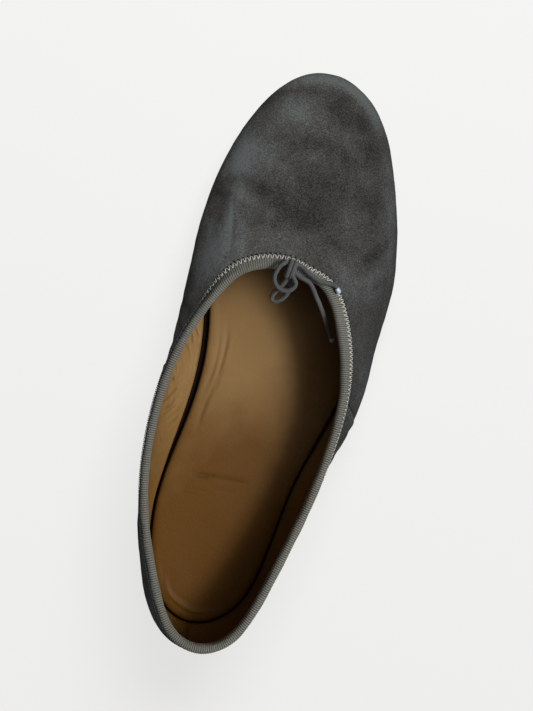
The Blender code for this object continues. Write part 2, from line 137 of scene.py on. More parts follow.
# heel share, foot side, foot along, top side, top along, top up, belly, belly up, shoulder, shoulder up, run, drop
SECTIONS = {
    "centre back":       (1.0, 0.008, 0.023, 0.008, 0.023, 1.000, 0.088, 0.20, 0.084, 0.50, 0.00, 0.28),
    "outer counter":     (1.0, 0.242, 0.046, 0.218, 0.039, 0.975, 0.070, 0.20, 0.068, 0.50, 0.00, 0.28),
    "outer heel":        (1.0, 0.393, 0.104, 0.360, 0.098, 0.912, 0.048, 0.20, 0.048, 0.50, 0.00, 0.28),
    "outer heel front":  (1.0, 0.460, 0.200, 0.470, 0.196, 0.825, 0.045, 0.20, 0.050, 0.50, 0.00, 0.28),
    "outer waist":       (0.6, 0.454, 0.320, 0.490, 0.316, 0.768, 0.064, 0.20, 0.080, 0.50, 0.00, 0.28),
    "outer seam":        (0.3, 0.522, 0.448, 0.472, 0.454, 0.784, 0.104, 0.20, 0.110, 0.50, 0.15, 0.24),
    "outer ball back":   (0.0, 0.517, 0.568, 0.354, 0.556, 0.874, 0.087, 0.20, 0.072, 0.48, 0.38, 0.16),
    "outer ball":        (0.0, 0.524, 0.688, 0.226, 0.629, 0.966, 0.105, 0.21, 0.048, 0.46, 0.48, 0.14),
    "outer toe side":    (0.0, 0.424, 0.824, 0.109, 0.647, 0.995, 0.124, 0.24, 0.036, 0.42, 0.50, 0.20),
    "outer toe":         (0.0, 0.259, 0.940, 0.040, 0.652, 1.000, 0.126, 0.28, 0.036, 0.40, 0.50, 0.25),
    "toe tip":           (0.0, 0.012, 0.984, -0.012, 0.653, 1.000, 0.132, 0.29, 0.038, 0.39, 0.50, 0.26),
    "inner toe":         (0.0, -0.201, 0.940, -0.063, 0.651, 1.000, 0.124, 0.28, 0.036, 0.40, 0.50, 0.25),
    "inner toe side":    (0.0, -0.346, 0.824, -0.138, 0.643, 0.998, 0.112, 0.24, 0.036, 0.42, 0.48, 0.20),
    "inner ball":        (0.0, -0.397, 0.692, -0.244, 0.614, 0.977, 0.084, 0.21, 0.046, 0.46, 0.44, 0.16),
    "inner ball back":   (0.0, -0.328, 0.572, -0.348, 0.544, 0.931, 0.150, 0.20, 0.140, 0.50, 0.20, 0.24),
    "inner waist":       (0.3, -0.306, 0.452, -0.460, 0.444, 0.883, 0.130, 0.20, 0.187, 0.50, 0.00, 0.30),
    "inner quarter":     (0.6, -0.372, 0.320, -0.512, 0.320, 0.857, 0.080, 0.20, 0.130, 0.50, 0.00, 0.30),
    "inner heel front":  (1.0, -0.456, 0.208, -0.509, 0.212, 0.888, 0.060, 0.20, 0.074, 0.50, 0.00, 0.28),
    "inner heel":        (1.0, -0.385, 0.114, -0.356, 0.120, 0.938, 0.034, 0.20, 0.036, 0.50, 0.00, 0.28),
    "inner counter":     (1.0, -0.226, 0.047, -0.190, 0.050, 0.982, 0.056, 0.20, 0.054, 0.50, 0.00, 0.28),
}
ROWS = {name: row for row, name in enumerate(SECTIONS)}
heel_share, *columns = np.array(list(SECTIONS.values())).T
width = heel_share * HEEL_WIDTH + (1 - heel_share) * BALL_WIDTH
height = heel_share * BACK_HEIGHT + (1 - heel_share) * INSTEP_HEIGHT
units = (width, LENGTH, width, LENGTH, height, BALL_WIDTH, 1, BALL_WIDTH, 1, 1, 1)
TABLE = np.stack([column * size for column, size in zip(columns, units)], axis=1)
print("sections:", TABLE.shape[0], "rows of", TABLE.shape[1], "columns")


# %% The sole's heights and the outline
def tread_up(along):
    """The sole's underside: the heel's height falls by a smooth step to the floor, and the toe springs up by the
    square of the way past the ball."""
    waist = HEEL_HEIGHT * (1 - smooth_step((along - HEEL_BREAST) / (BALL_START - HEEL_BREAST)))
    return waist + TOE_SPRING * np.maximum((along - BALL_END) / (LENGTH - BALL_END), 0) ** 2


def sole_top(along):
    return tread_up(along) + OUTSOLE_THICKNESS


def closed_spline(values, at):
    """A closed curve through the rows of values, read at row numbers: a uniform cubic B-spline whose control points
    solve (c[i-1] + 4 c[i] + c[i+1]) / 6 = values[i]."""
    count, one = len(values), np.eye(len(values))
    control = np.linalg.solve((4 * one + np.roll(one, 1, 1) + np.roll(one, -1, 1)) / 6, values)
    first = np.floor(at).astype(int)
    t = (at - first)[..., None]
    weights = ((1 - t) ** 3, 3 * t**3 - 6 * t**2 + 4, -3 * t**3 + 3 * t**2 + 3 * t + 1, t**3)
    return sum(w * control[(first + k - 1) % count] for k, w in enumerate(weights)) / 6


def foot_line(u):
    return closed_spline(TABLE[:, :2], np.asarray(u, float))


def plan_normal(u):
    """The outline's outward direction: its own direction turned by a right angle."""
    run = foot_line(u + STEP) - foot_line(u - STEP)
    return unit(np.stack([run[..., 1], -run[..., 0]], axis=-1))


def fine_rows(steps):
    """Row numbers all the way round, so many steps from one row of the table to the next."""
    return np.linspace(0, len(TABLE), len(TABLE) * steps + 1)


FINE_STEPS = 400
FINE = fine_rows(FINE_STEPS)


def even_rows(count, line=foot_line, fine=FINE):
    """Row numbers at equal distances along a closed line of the shoe, read between fine steps."""
    length = distances(line(fine))
    return np.interp(np.arange(count) / count * length[-1], length, fine)


# %% The wall as a surface
def wall(u, v):
    """The upper's outside at row number u and share v of the height, 0 at the sole and 1 at the collar. A section is
    the Bezier sum of C(4, k) v^k (1 - v)^(4 - k) times its five points: foot, belly, shoulder, lead-in and top."""
    u, v = np.broadcast_arrays(np.asarray(u, float), np.asarray(v, float))
    (foot_side, foot_along, top_side, top_along, rise,
     belly, belly_up, shoulder, shoulder_up, run, drop) = np.moveaxis(closed_spline(TABLE, u), -1, 0)[..., None]
    out = np.concatenate([plan_normal(u), np.zeros((*u.shape, 1))], axis=-1)
    foot = np.concatenate([foot_side, foot_along, sole_top(foot_along) + CLEARANCE], axis=-1)
    top = np.concatenate([top_side, top_along, sole_top(top_along) + rise], axis=-1)
    high = (top - foot)[..., 2:]
    up, level = np.array([0, 0, 1.0]), np.array([1.0, 1, 0])
    points = (foot, foot + out * belly + up * belly_up * high, foot + out * shoulder + up * shoulder_up * high,
              top + (foot - top) * level * run - up * drop * high, top)
    v = v[..., None]
    return sum(math.comb(4, k) * v**k * (1 - v) ** (4 - k) * point for k, point in enumerate(points))


def wall_frame(u, v):
    """The outward normal, from the cross product of the two directions on the wall, and the way down it."""
    across = wall(u + STEP, v) - wall(u - STEP, v)
    rise = (wall(u, v + STEP) - wall(u, v - STEP)) / (2 * STEP)
    return unit(np.cross(across, rise)), -rise


print("collar:", np.round(np.ptp(to_frame(wall(FINE, 1.0)), axis=0) * 1000, 1), "mm; upper in the frame:",
      [np.round(np.array(c) * 1000, 1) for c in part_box("upper")])

# %% [markdown]
# ## Meshes from arrays
#
# Every piece here is a grid: rows by columns of points that a formula gives at once as one numpy array. Joining
# neighbours makes the faces. Pieces could be modelled by hand too, but a formula can be changed at any time. A grid
# can be closed round its columns, like a tube, and round its rows too, like a ring. Points that meet, at a pole or
# on a middle line, are merged, and the sign of the volume says whether the faces look outwards.

# %% Grid to mesh to piece
PIECES = {}


def grid_faces(rows, columns, ring):
    """Quads between neighbouring points of the grid. ring joins the last row to the first as well."""
    index = np.arange(rows * columns).reshape(rows, columns)
    index = np.hstack([index, index[:, :1]])
    if ring:
        index = np.vstack([index, index[:1]])
    return np.stack([index[:-1, :-1], index[:-1, 1:], index[1:, 1:], index[1:, :-1]], axis=-1).reshape(-1, 4)


def make_mesh(name, points, faces, values=None, sharp=40.0):
    """A mesh of those points and faces. values are numbers for each point, kept as named attributes."""
    a, b, c = (points[faces[:, k]] for k in range(3))
    d = points[faces[:, -1]]
    volume = np.einsum("ij,ij->", a, np.cross(b, c)) + np.einsum("ij,ij->", a, np.cross(c, d))
    faces = faces[:, ::-1] if volume < 0 else faces
    mesh = bpy.data.meshes.new(name)
    mesh.from_pydata(points.tolist(), [], faces.tolist())
    for key, value in (values or {}).items():
        mesh.attributes.new(key, "FLOAT", "POINT").data.foreach_set("value", np.asarray(value, np.float32).ravel())
    work = bmesh.new()
    work.from_mesh(mesh)
    bmesh.ops.remove_doubles(work, verts=work.verts, dist=1e-6)
    work.to_mesh(mesh)
    work.free()
    mesh.shade_smooth()
    mesh.set_sharp_from_angle(angle=math.radians(sharp))
    return mesh


def add_piece(name, mesh, stands_for=()):
    """Puts a finished mesh in the scene: it rides on the shoe and stands for the solids named."""
    piece = bpy.data.objects.new(name, mesh)
    bpy.context.scene.collection.objects.link(piece)
    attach(piece, "root")
    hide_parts(*stands_for)
    PIECES[name] = piece
    print(f"{name}: {sum(len(p.vertices) - 2 for p in mesh.polygons)} triangles")
    return piece


def grid_piece(name, grid, stands_for=(), ring=True, values=None, sharp=40.0):
    """A piece from a grid of places on the shoe, rows x columns x 3."""
    faces = grid_faces(*grid.shape[:2], ring)
    return add_piece(name, make_mesh(name, to_frame(grid).reshape(-1, 3), faces, values, sharp), stands_for)


def piece_of_many(name, grids):
    """One piece of many equal grids, grids x rows x columns x 3. Each grid's faces count on from the last one's."""
    count, rows, columns, _ = grids.shape
    faces = grid_faces(rows, columns, False) + (np.arange(count) * rows * columns)[:, None, None]
    mesh = make_mesh(name, to_frame(grids).reshape(-1, 3), faces.reshape(-1, 4), sharp=80.0)
    return add_piece(name, mesh)


# %% [markdown]
# ## The lace and its bow
#
# The lace runs inside the ribbon right round the collar and comes out at the throat, where it is tied: each half
# leaves the ribbon, goes up into the knot, makes its loop, goes back through the knot and ends in a dipped tip. A
# cord is one line with a round section carried along it, so each half is a route of listed points, smoothed,
# and a tube round it. The routes are the frame's own, joined inside the knot. A curve with a bevel would look the
# same from afar, but only a mesh keeps the numbers on its points that the braid's pattern needs.

# %% Routes of the two halves, from the knot's middle
CORD = 0.0018
KNOT_FROM_THROAT = np.array((0.0020, -0.0011, 0.0040))
KNOT = wall(float(ROWS["toe tip"]), 1.0) + KNOT_FROM_THROAT
LACE_OUTER = [
    (-0.6, 3.2, -3.0), (-1.3, 3.0, -1.4), (-2.7, 1.9, 0.8), (-4.3, 0.2, 1.0), (-5.4, -2.6, 0.8), (-5.4, -5.5, 0.4),
    (-3.8, -7.9, 0.0), (-1.3, -9.0, -0.2), (1.2, -8.7, -0.1), (2.9, -7.2, 0.2), (3.4, -5.4, 0.8), (2.6, -4.1, 1.2),
    (1.2, -2.4, 1.0), (0.3, -0.2, 0.4), (0.9, 1.7, 0.1), (2.6, 2.3, 0.0), (4.7, 1.8, -0.2), (6.7, 0.7, -0.4),
    (8.9, -0.4, -0.7), (11.6, -1.3, -1.1), (14.6, -1.6, -2.0), (17.3, -1.4, -2.9), (19.4, -1.6, -3.4),
    (20.6, -2.6, -3.8),
]
LACE_INNER = [
    (1.0, 3.4, -3.2), (0.4, 1.8, -1.6), (-0.2, -1.2, -1.0), (-0.2, -4.1, -1.6), (-1.2, -6.6, -2.4),
    (-2.8, -9.4, -3.6), (-3.9, -11.5, -5.0), (-3.8, -13.2, -6.2), (-2.2, -13.8, -6.6), (-0.1, -12.4, -5.8),
    (1.4, -10.0, -4.4), (1.8, -7.4, -3.0), (1.5, -4.6, -1.9), (1.0, -2.4, -1.0), (1.3, -1.3, -0.3),
    (2.7, -1.4, 0.0), (4.6, -2.2, -0.2), (6.9, -2.7, -0.6), (9.2, -3.6, -1.3), (11.2, -5.4, -2.7),
    (13.2, -7.6, -5.0), (15.7, -9.9, -8.6), (18.8, -13.2, -13.0), (22.4, -17.4, -18.4), (26.2, -21.6, -23.8),
]


def smooth_way(points, step):
    """A Catmull-Rom curve through the points, read again at equal steps: between two points it is the cubic whose
    slopes at both ends are half the way between their neighbours."""
    knots = np.array(points, float)
    knots = np.vstack([2 * knots[0] - knots[1], knots, 2 * knots[-1] - knots[-2]])
    a, b, c, d = (knots[k:len(knots) - 3 + k, None] for k in range(4))
    t = np.linspace(0, 1, 40, endpoint=False)[None, :, None]
    fine = b + 0.5 * ((c - a) * t + (2 * a - 5 * b + 4 * c - d) * t**2 + (3 * b - a - 3 * c + d) * t**3)
    fine = np.vstack([fine.reshape(-1, knots.shape[1]), knots[-2]])
    length = distances(fine)
    at = np.linspace(0, length[-1], max(2, round(length[-1] / step)) + 1)
    return np.stack([np.interp(at, length, column) for column in fine.T], axis=1)


# %% Tubes
DOME = 0.6                                                      # a closed end's height in radii


def tube_grid(way, radius, around, side_on):
    """A ring of radius round each point of the way, or of many ways at once. The ring's directions are the cross
    product of the way's own direction with side_on, a direction that the way never takes, and that one's with the
    way again."""
    ahead = unit(np.gradient(way, axis=-2))
    one = unit(np.cross(ahead, side_on))
    two = np.cross(ahead, one)
    angle = np.linspace(0, 2 * math.pi, around, endpoint=False)[:, None]
    radius = np.broadcast_to(radius, way.shape[:-1])[..., None, None]
    return way[..., None, :] + radius * (one[..., None, :] * np.cos(angle) + two[..., None, :] * np.sin(angle))


def closed_tube(way, radius, around, side_on):
    """The tube with its ends drawn in over a short dome: at a share h of the dome's height the ring has shrunk to
    sqrt(1 - h^2)."""
    grid, ahead = tube_grid(way, radius, around, side_on), unit(np.gradient(way, axis=0))
    radius = np.broadcast_to(radius, len(way))
    h = 1 - np.sin(np.linspace(0, math.pi / 2, 5))[:-1, None, None]
    first, last = (way[end] + outwards * radius[end] * DOME * h + (grid[end] - way[end]) * np.sqrt(1 - h**2)
                   for end, outwards in ((0, -ahead[0]), (-1, ahead[-1])))
    return np.concatenate([first, grid, last[::-1]])


def cord_values(way, grid, around):
    """For each point of a tube: its distance along the way in cord diameters, and its turn round it, 0 to 1."""
    along = np.pad(distances(way), (len(grid) - len(way)) // 2, "edge") / CORD
    turn = np.linspace(0, 1, around, endpoint=False)
    return {"cord_along": np.repeat(along, around), "cord_turn": np.tile(turn, len(grid))}


# %% The two halves, their tips and the knot
AROUND, CORD_STEP = 20, 0.00035
TIP_LENGTH, TIP_START, TIP_RADIUS, TIP_STEPS = 0.0017, -0.0002, 0.00104, 14
UP, ACROSS = (0.0, 0.0, 1.0), (1.0, 0.0, 0.0)
laces, tips = {}, {}
for name, route, solids in (
        ("lace_outer", LACE_OUTER, ("bow_loop_upper", "bow_end_outer")),
        ("lace_inner", LACE_INNER, ("bow_loop_lower", "bow_end_inner"))):
    way = KNOT + smooth_way(np.array(route) * MM, CORD_STEP)
    grid = closed_tube(way, CORD / 2, AROUND, UP)
    laces[name] = (grid_piece(name, grid, solids, ring=False, values=cord_values(way, grid, AROUND)), way)
    ahead = unit(way[-1] - way[-4])
    tip_way = way[-1] + ahead * np.linspace(TIP_START, TIP_LENGTH, TIP_STEPS)[:, None]
    swell = TIP_RADIUS * (1 - 0.10 * np.linspace(-1, 1, TIP_STEPS) ** 2)
    tip_name = name.replace("lace", "tip")
    tips[name] = grid_piece(tip_name, closed_tube(tip_way, swell, AROUND, UP),
                            (tip_name.replace("tip", "bow_tip"),), ring=False)

# The knot is a coil with an oval round: its turns go along and up while it moves across by the pitch.
KNOT_TURNS, KNOT_START, KNOT_PITCH, KNOT_ALONG, KNOT_UP = 1.60, -0.15, 0.00170, 0.00310, 0.00175
angle = np.linspace(KNOT_START, KNOT_TURNS + KNOT_START, 150) * 2 * math.pi
wrap = np.stack([KNOT_PITCH * (angle / (2 * math.pi) - KNOT_TURNS / 2 - KNOT_START), -KNOT_ALONG * np.cos(angle),
                 KNOT_UP * np.sin(angle)], axis=1)
grid = closed_tube(KNOT + wrap, CORD / 2 * 1.06, AROUND, ACROSS)
knot = grid_piece("knot", grid, ("bow_knot",), ring=False, values=cord_values(wrap, grid, AROUND))

for name, with_pieces in (("lace_outer", [tips["lace_outer"], knot]), ("lace_inner", [tips["lace_inner"]])):
    piece, way = laces[name]
    length = float(distances(way)[-1])
    print(name, "is", round(length * 1000, 1), "mm long")

# %% [markdown]
# ## Creases
#
# Suede that has been worn keeps soft creases where the foot bends, and a thin lining wrinkles more sharply. Noise
# alone never looks like them, because each has a cause and a direction. So they are listed one by one: a crease is
# a line through a few places on the shoe, a depth and a width. Across its line the depth follows (1 - 0.8 d^2)
# exp(-d^2), with d the distance in widths, which is a trough between two soft lips, and it fades at both ends.

# %% Creases listed one by one
def crease_height(points, creases):
    """The sum of the creases at each point: depth * (1 - 0.8 q) * exp(-q), q the squared distance from the line in
    widths, times a smooth step over the first and last quarter of the line."""
    flat = points.reshape(-1, 3)
    total = np.zeros(len(flat))
    for depth, breadth, places in creases:
        places = np.array(places, float) * MM
        way = smooth_way(flat[np.argmin(((places[:, None] - flat) ** 2).sum(-1), axis=1)], 0.0015)
        reach = 3 * breadth * MM
        near = np.nonzero(((flat > way.min(0) - reach) & (flat < way.max(0) + reach)).all(axis=1))[0]
        start, leg = way[:-1], np.diff(way, axis=0)
        share = np.clip(((flat[near, None] - start) * leg).sum(-1) / (leg**2).sum(-1), 0, 1)
        gap = ((flat[near, None] - start - share[..., None] * leg) ** 2).sum(-1)
        best = gap.argmin(axis=1)
        at = (best + share[np.arange(len(near)), best]) / len(leg)
        q = gap[np.arange(len(near)), best] / (breadth * MM) ** 2
        fade = smooth_step(at / 0.25) * smooth_step((1 - at) / 0.25)
        total[near] += depth * MM * (1 - 0.8 * q) * np.exp(-q) * fade
    return total.reshape(points.shape[:-1])


def ripple(points, size, seed):
    """Gentle unevenness without direction: six sine waves of that size in directions drawn from the seed, summed
    and scaled to about -1 to 1."""
    draw = np.random.default_rng(seed)
    ways = unit(draw.normal(size=(6, 3))) * draw.uniform(0.6, 1.5, (6, 1)) * 2 * math.pi / size
    return np.sin(points @ ways.T + draw.uniform(0, 2 * math.pi, 6)).sum(-1) / 3


# Depth and width in millimetres (a depth below 0 is a trough), then places as side, along, up.
SUEDE_CREASES = [
    (0.35, 2.6, [(-28, 182, 45), (-25, 172, 50), (-23, 162, 55)]),       # ridge beside the throat
    (-0.30, 2.4, [(-33, 178, 40), (-31, 168, 45), (-29, 158, 48)]),
    (-0.45, 3.2, [(-26, 190, 45), (-18, 184, 50), (-9, 180, 55)]),       # across the bend of the toes
    (-0.40, 3.0, [(-33, 198, 30), (-22, 196, 45), (-12, 193, 50)]),
    (0.30, 2.6, [(-24, 186, 45), (-17, 183, 50), (-11, 181, 55)]),
    (-0.35, 3.4, [(12, 184, 50), (22, 180, 48), (33, 180, 38)]),
    (-0.45, 3.0, [(29, 170, 48), (36, 177, 40), (42, 186, 28)]),
    (-0.30, 3.0, [(33, 160, 42), (40, 165, 34), (45, 172, 22)]),
    (0.25, 3.0, [(-4, 211, 45), (2, 216, 45), (7, 221, 40)]),
    (-0.30, 3.4, [(-12, 214, 45), (-3, 220, 42), (6, 224, 38)]),
    (-1.00, 9.0, [(-37, 202, 24), (-38, 186, 26), (-38, 172, 27), (-37, 158, 28)]),    # the hollow inner side
    (-0.55, 2.2, [(-40, 196, 22), (-36, 196, 30), (-30, 199, 38)]),
    (-0.55, 2.2, [(-41, 189, 18), (-38, 188, 28), (-33, 190, 36)]),
    (-0.45, 2.2, [(-41, 180, 16), (-39, 178, 28), (-35, 178, 38)]),
    (-0.60, 2.2, [(-42, 141, 14), (-39, 138, 26), (-35, 136, 38)]),      # behind the inner ball
    (-0.50, 2.0, [(-43, 133, 16), (-39, 130, 26), (-36, 127, 38)]),
    (-0.40, 2.0, [(-43, 124, 18), (-40, 121, 28), (-38, 118, 38)]),
    (-0.35, 1.8, [(52, 104, 16), (49, 101, 24), (46, 97, 30)]),          # folds behind the outer seam
    (-0.32, 1.8, [(51, 97, 14), (48, 93, 22), (45, 90, 28)]),
    (-0.28, 2.0, [(48, 88, 14), (45, 84, 22), (42, 80, 28)]),
    (-0.35, 2.4, [(50, 122, 18), (47, 124, 28), (43, 128, 35)]),
    (-0.40, 2.6, [(-20, 14, 24), (-12, 6, 30), (-4, 3, 34)]),            # slack round the heel
    (-0.35, 2.6, [(24, 20, 20), (18, 10, 26), (8, 4, 30)]),
    (-0.40, 2.8, [(33, 52, 16), (33, 42, 26), (32, 34, 36)]),
    (-0.35, 2.8, [(-34, 60, 18), (-33, 50, 28), (-32, 42, 38)]),
]
print("suede creases:", len(SUEDE_CREASES))

# %% [markdown]
# ## The suede
#
# Suede is the flesh side of leather: matt, with a short nap that lies now one way, now the other. The upper has a
# vamp over the toes and two quarters that lap over it at the side seams, and a seam closes the quarters behind the
# heel. It is one ring-shaped grid: rows climb the outside from the sole to the collar and come back down inside.
# The outside carries the lap of the quarters, the creases and a little slack. A cloth simulation over a last could
# do it too, but a formula keeps the wall where the frame has it.

# %% Seams
QUARTERS_END = (ROWS["outer seam"], ROWS["inner waist"])
SEAM_TOP, SEAM_SLANT, SEAM_BOW = 0.0045, 0.016, 0.0022          # ahead at the collar, back from there, ahead between
QUARTER_LAP, LAP_SLOPE, LAP_FADE = 0.00032, 0.0007, 0.10
ROW_BEHIND = 0.0165                                             # the outline's length from row to row behind the heel


def seam_gap(u, v, seam):
    """Distance along the outline from a side seam, above 0 towards the toe. The seam slants back towards the heel
    on its way down, and bows a little towards the toe between the ends, by a half sine."""
    speed = np.linalg.norm(foot_line(seam + STEP) - foot_line(seam - STEP)) / (2 * STEP)
    ahead = (u - seam) * speed * (1 if seam < ROWS["toe tip"] else -1)
    return ahead - (SEAM_TOP - SEAM_SLANT * (1 - v) + SEAM_BOW * np.sin(math.pi * v))


def to_seam(u, v):
    """The smaller of the two seams' distances: below 0 on a quarter, which is behind its own seam."""
    return np.minimum(*(seam_gap(u, v, seam) for seam in QUARTERS_END))


def from_back(u):
    return np.minimum(u, len(TABLE) - u) * ROW_BEHIND


def back_seam(u, groove, groove_breadth, lip, lip_at, lip_breadth):
    """The seam behind the heel: a bell curve for the lip on each side, less the groove's bell curve between them."""
    return lip * bell(from_back(u) - lip_at, lip_breadth) - groove * bell(from_back(u), groove_breadth)


def seam_relief(u, v):
    """The quarters stand proud by the lap, which ends in a short slope at each side seam, with a rolled edge behind
    it and a fold before it. All of it fades out below the ribbon."""
    nearest = to_seam(u, v)
    lap = QUARTER_LAP * (1 - smooth_step(nearest / LAP_SLOPE + 0.5))
    roll, fold = 0.00018 * bell(nearest + 0.0009, 0.0006), 0.00022 * bell(nearest - 0.0009, 0.0007)
    behind = back_seam(u, 0.00035, 0.0007, 0.00014, 0.0022, 0.0012)
    return (lap + roll - fold + behind) * smooth_step((1 - v - LAP_FADE) / LAP_FADE)


# %% The suede's grid
SUEDE_THICKNESS, DEEPEST, HIDDEN_ROWS = 0.0010, -0.00088, 9     # the relief is never as deep as the suede is thick


def shell_grid(u, seen, depth):
    """A shell as one ring of rows: the seen face from the sole to the collar, and back down a few hidden rows that
    deep in the wall. Both feet stand level on the sole."""
    down = np.linspace(1, 0, HIDDEN_ROWS)[:, None]
    shell = np.concatenate([seen, wall(u, down) - wall_frame(u, down)[0] * depth])
    shell[0, :, 2] = shell[-1, :, 2] = wall(u, 0.0)[0, :, 2]
    return shell


def on_seen(values, hidden=0.0):
    """Values of the seen face, with one value for all the hidden rows."""
    return np.pad(values, ((0, HIDDEN_ROWS), (0, 0)), constant_values=hidden)


u, v = even_rows(720)[None, :], np.linspace(0, 1, 118)[:, None]
outside, normal = wall(u, v), wall_frame(u, v)[0]
creases = crease_height(outside, SUEDE_CREASES)
slack = 0.00016 * ripple(outside, 0.022, 3) + 0.00005 * ripple(outside, 0.007, 5)
held = smooth_step(v / 0.06) * smooth_step((1 - v) / 0.10)      # tight at the sole and under the ribbon
relief = np.maximum(seam_relief(u, v) + (creases + slack) * held, DEEPEST)
shell = shell_grid(u, outside + normal * relief[..., None], SUEDE_THICKNESS)
print("suede relief from", round(relief.min() * 1000, 2), "to", round(relief.max() * 1000, 2), "mm")

# %% [markdown]
# The nap also has a map of its own. Where a hand has brushed it one way the suede looks paler and bluer, where it
# lies the other way darker and browner. The same map carries painted light and shade too: a painted sheen along the
# toe's rim, and painted shade along the inner edge of the vamp and on the inner heel wall. Those patches are soft
# ellipses at places on the shoe, kept as a number on each point, and the material mixes its colours by it. They
# could be painted on, but a table can be read and changed.

# %% Brushed patches
# Besides brushed nap: the patches along the toe's rim are painted sheen, and the dark ones along the inner edge of
# the vamp and on the inner heel wall are painted shade.
# side, along, half width, half length in millimetres, turn in degrees, amount: above 0 is paler, below 0 darker
NAP_AND_LIGHT_PATCHES = [
    (-10, 228, 8, 8, 0, 0.46), (-18, 224, 2.5, 7, -25, 0.30), (-10, 238, 7, 2.5, 10, -0.35),
    (-17, 242, 6, 3, 30, 0.40), (-8, 245, 7, 3.5, 8, 0.95), (4, 246.5, 8, 3, -8, 1.10),
    (15, 243, 7, 3.5, -30, 1.10), (24, 235, 6, 3.5, -50, 0.85), (5, 235, 6, 6, 0, -0.60),
    (17, 231, 8, 6, -20, -0.55), (-24, 221, 5, 8, -25, -0.20), (12, 215, 17, 3.5, -8, -0.45),
    (25, 221, 6, 5, -30, -0.35), (-14, 204, 9, 3, -25, 0.30), (-28, 210, 4, 7, -20, 0.25),
    (7, 202, 11, 8, 0, -0.35), (29, 198, 6, 5, 0, -0.45), (29, 188, 6, 4, 0, -0.35), (22, 208, 8, 6, 0, 0.15),
    (40, 201, 3.5, 12, 5, 0.55), (34, 217, 3.5, 9, 20, 0.40), (43, 186, 3, 9, 5, 0.35), (-33, 191, 5, 6, 0, -0.30),
    (-25, 188, 5, 2.6, -25, 0.45), (-17, 184.5, 7, 2.2, -25, 0.45), (-20, 192, 7, 3, -20, -0.25),
    (-26, 174, 0.7, 11, 9, 0.90), (-24.4, 173, 1.0, 8, 9, -0.40), (-34, 172, 1.4, 9, 6, 0.75),
    (-30, 173, 2, 8, 8, -0.40), (-39, 166, 2, 12, 2, -1.10), (-38, 188, 2.2, 11, -6, -1.00),
    (-36, 204, 2.2, 9, -14, -0.90), (-31, 219, 2.2, 9, -30, -0.60), (-23, 232, 3, 8, -45, -0.45),
    (-37, 146, 2.5, 12, 0, -0.80), (-33, 157, 4, 8, 8, 0.25), (-28, 202, 7, 16, -12, 0.90),
    (-30, 168, 9, 16, 4, 0.80), (-18, 168, 9, 8, 0, 0.18), (1, 190, 14, 13, 0, -0.48), (36, 178, 3, 13, -28, -0.45),
    (41, 179, 2.5, 9, -25, 0.25), (27, 166, 6, 6, 20, 0.50), (35, 163, 5, 8, 0, 0.50), (18, 189, 9, 5, 0, 0.20),
    (2, 183, 9, 5, 0, -0.35), (-3, 176, 7, 4, 0, 0.10), (-3, 198, 7, 5, 0, 0.12), (-10, 190, 6, 4, 0, -0.25),
    (-38, 112, 4, 18, 0, -0.50), (46, 95, 8, 14, 0, 0.10), (47, 122, 6, 9, 0, 0.65), (42, 140, 6, 8, 0, 0.15),
    (40, 60, 8, 16, 0, -0.10), (30, 25, 10, 10, 0, 0.20), (41, 110, 6, 12, 0, -0.15), (-37, 78, 4, 26, 0, -1.20),
    (-35, 44, 5, 22, 5, -1.25), (-27, 16, 7, 14, -30, -1.20), (0, 4, 14, 6, 0, -0.60),
]


def patch_sum(points, patches):
    """The sum of amount * exp(-q) over the patches, q the squared distance from the middle in half sizes, after
    turning side and along by the patch's angle."""
    x, y, half_x, half_y, degrees, amount = np.array(patches, float).T
    side = points[..., 0, None] / MM - x
    along = points[..., 1, None] / MM - y
    c, s = np.cos(np.radians(degrees)), np.sin(np.radians(degrees))
    q = ((side * c + along * s) / half_x) ** 2 + ((along * c - side * s) / half_y) ** 2
    return (amount * np.exp(-q)).sum(-1)


FOLD_SUEDE, NO_SEAM = 0.0005, 9.0       # the height that a full fold has, and millimetres that are far from a seam
# fold is the relief's height. The suede's colour uses it for painted light on ridges and the raised lap, and for
# painted shade in troughs.
suede = grid_piece("suede_upper", shell, ("upper",), values={
    "nap_and_painted_light": on_seen(patch_sum(outside, NAP_AND_LIGHT_PATCHES)), "fold": on_seen((creases + seam_relief(u, v)) / FOLD_SUEDE),
    "seam": on_seen(to_seam(u, v) / MM, NO_SEAM)})

# %% [markdown]
# ## The lining
#
# Thin tan leather lines the suede. It isn't pulled as tight, so it wrinkles along the inner wall, and a seam joins
# its two halves behind the heel. It is a second ring inside the first, with its own creases on the visible face.
# One thick shell with two colours would be simpler, but then suede and leather would have to crease alike.

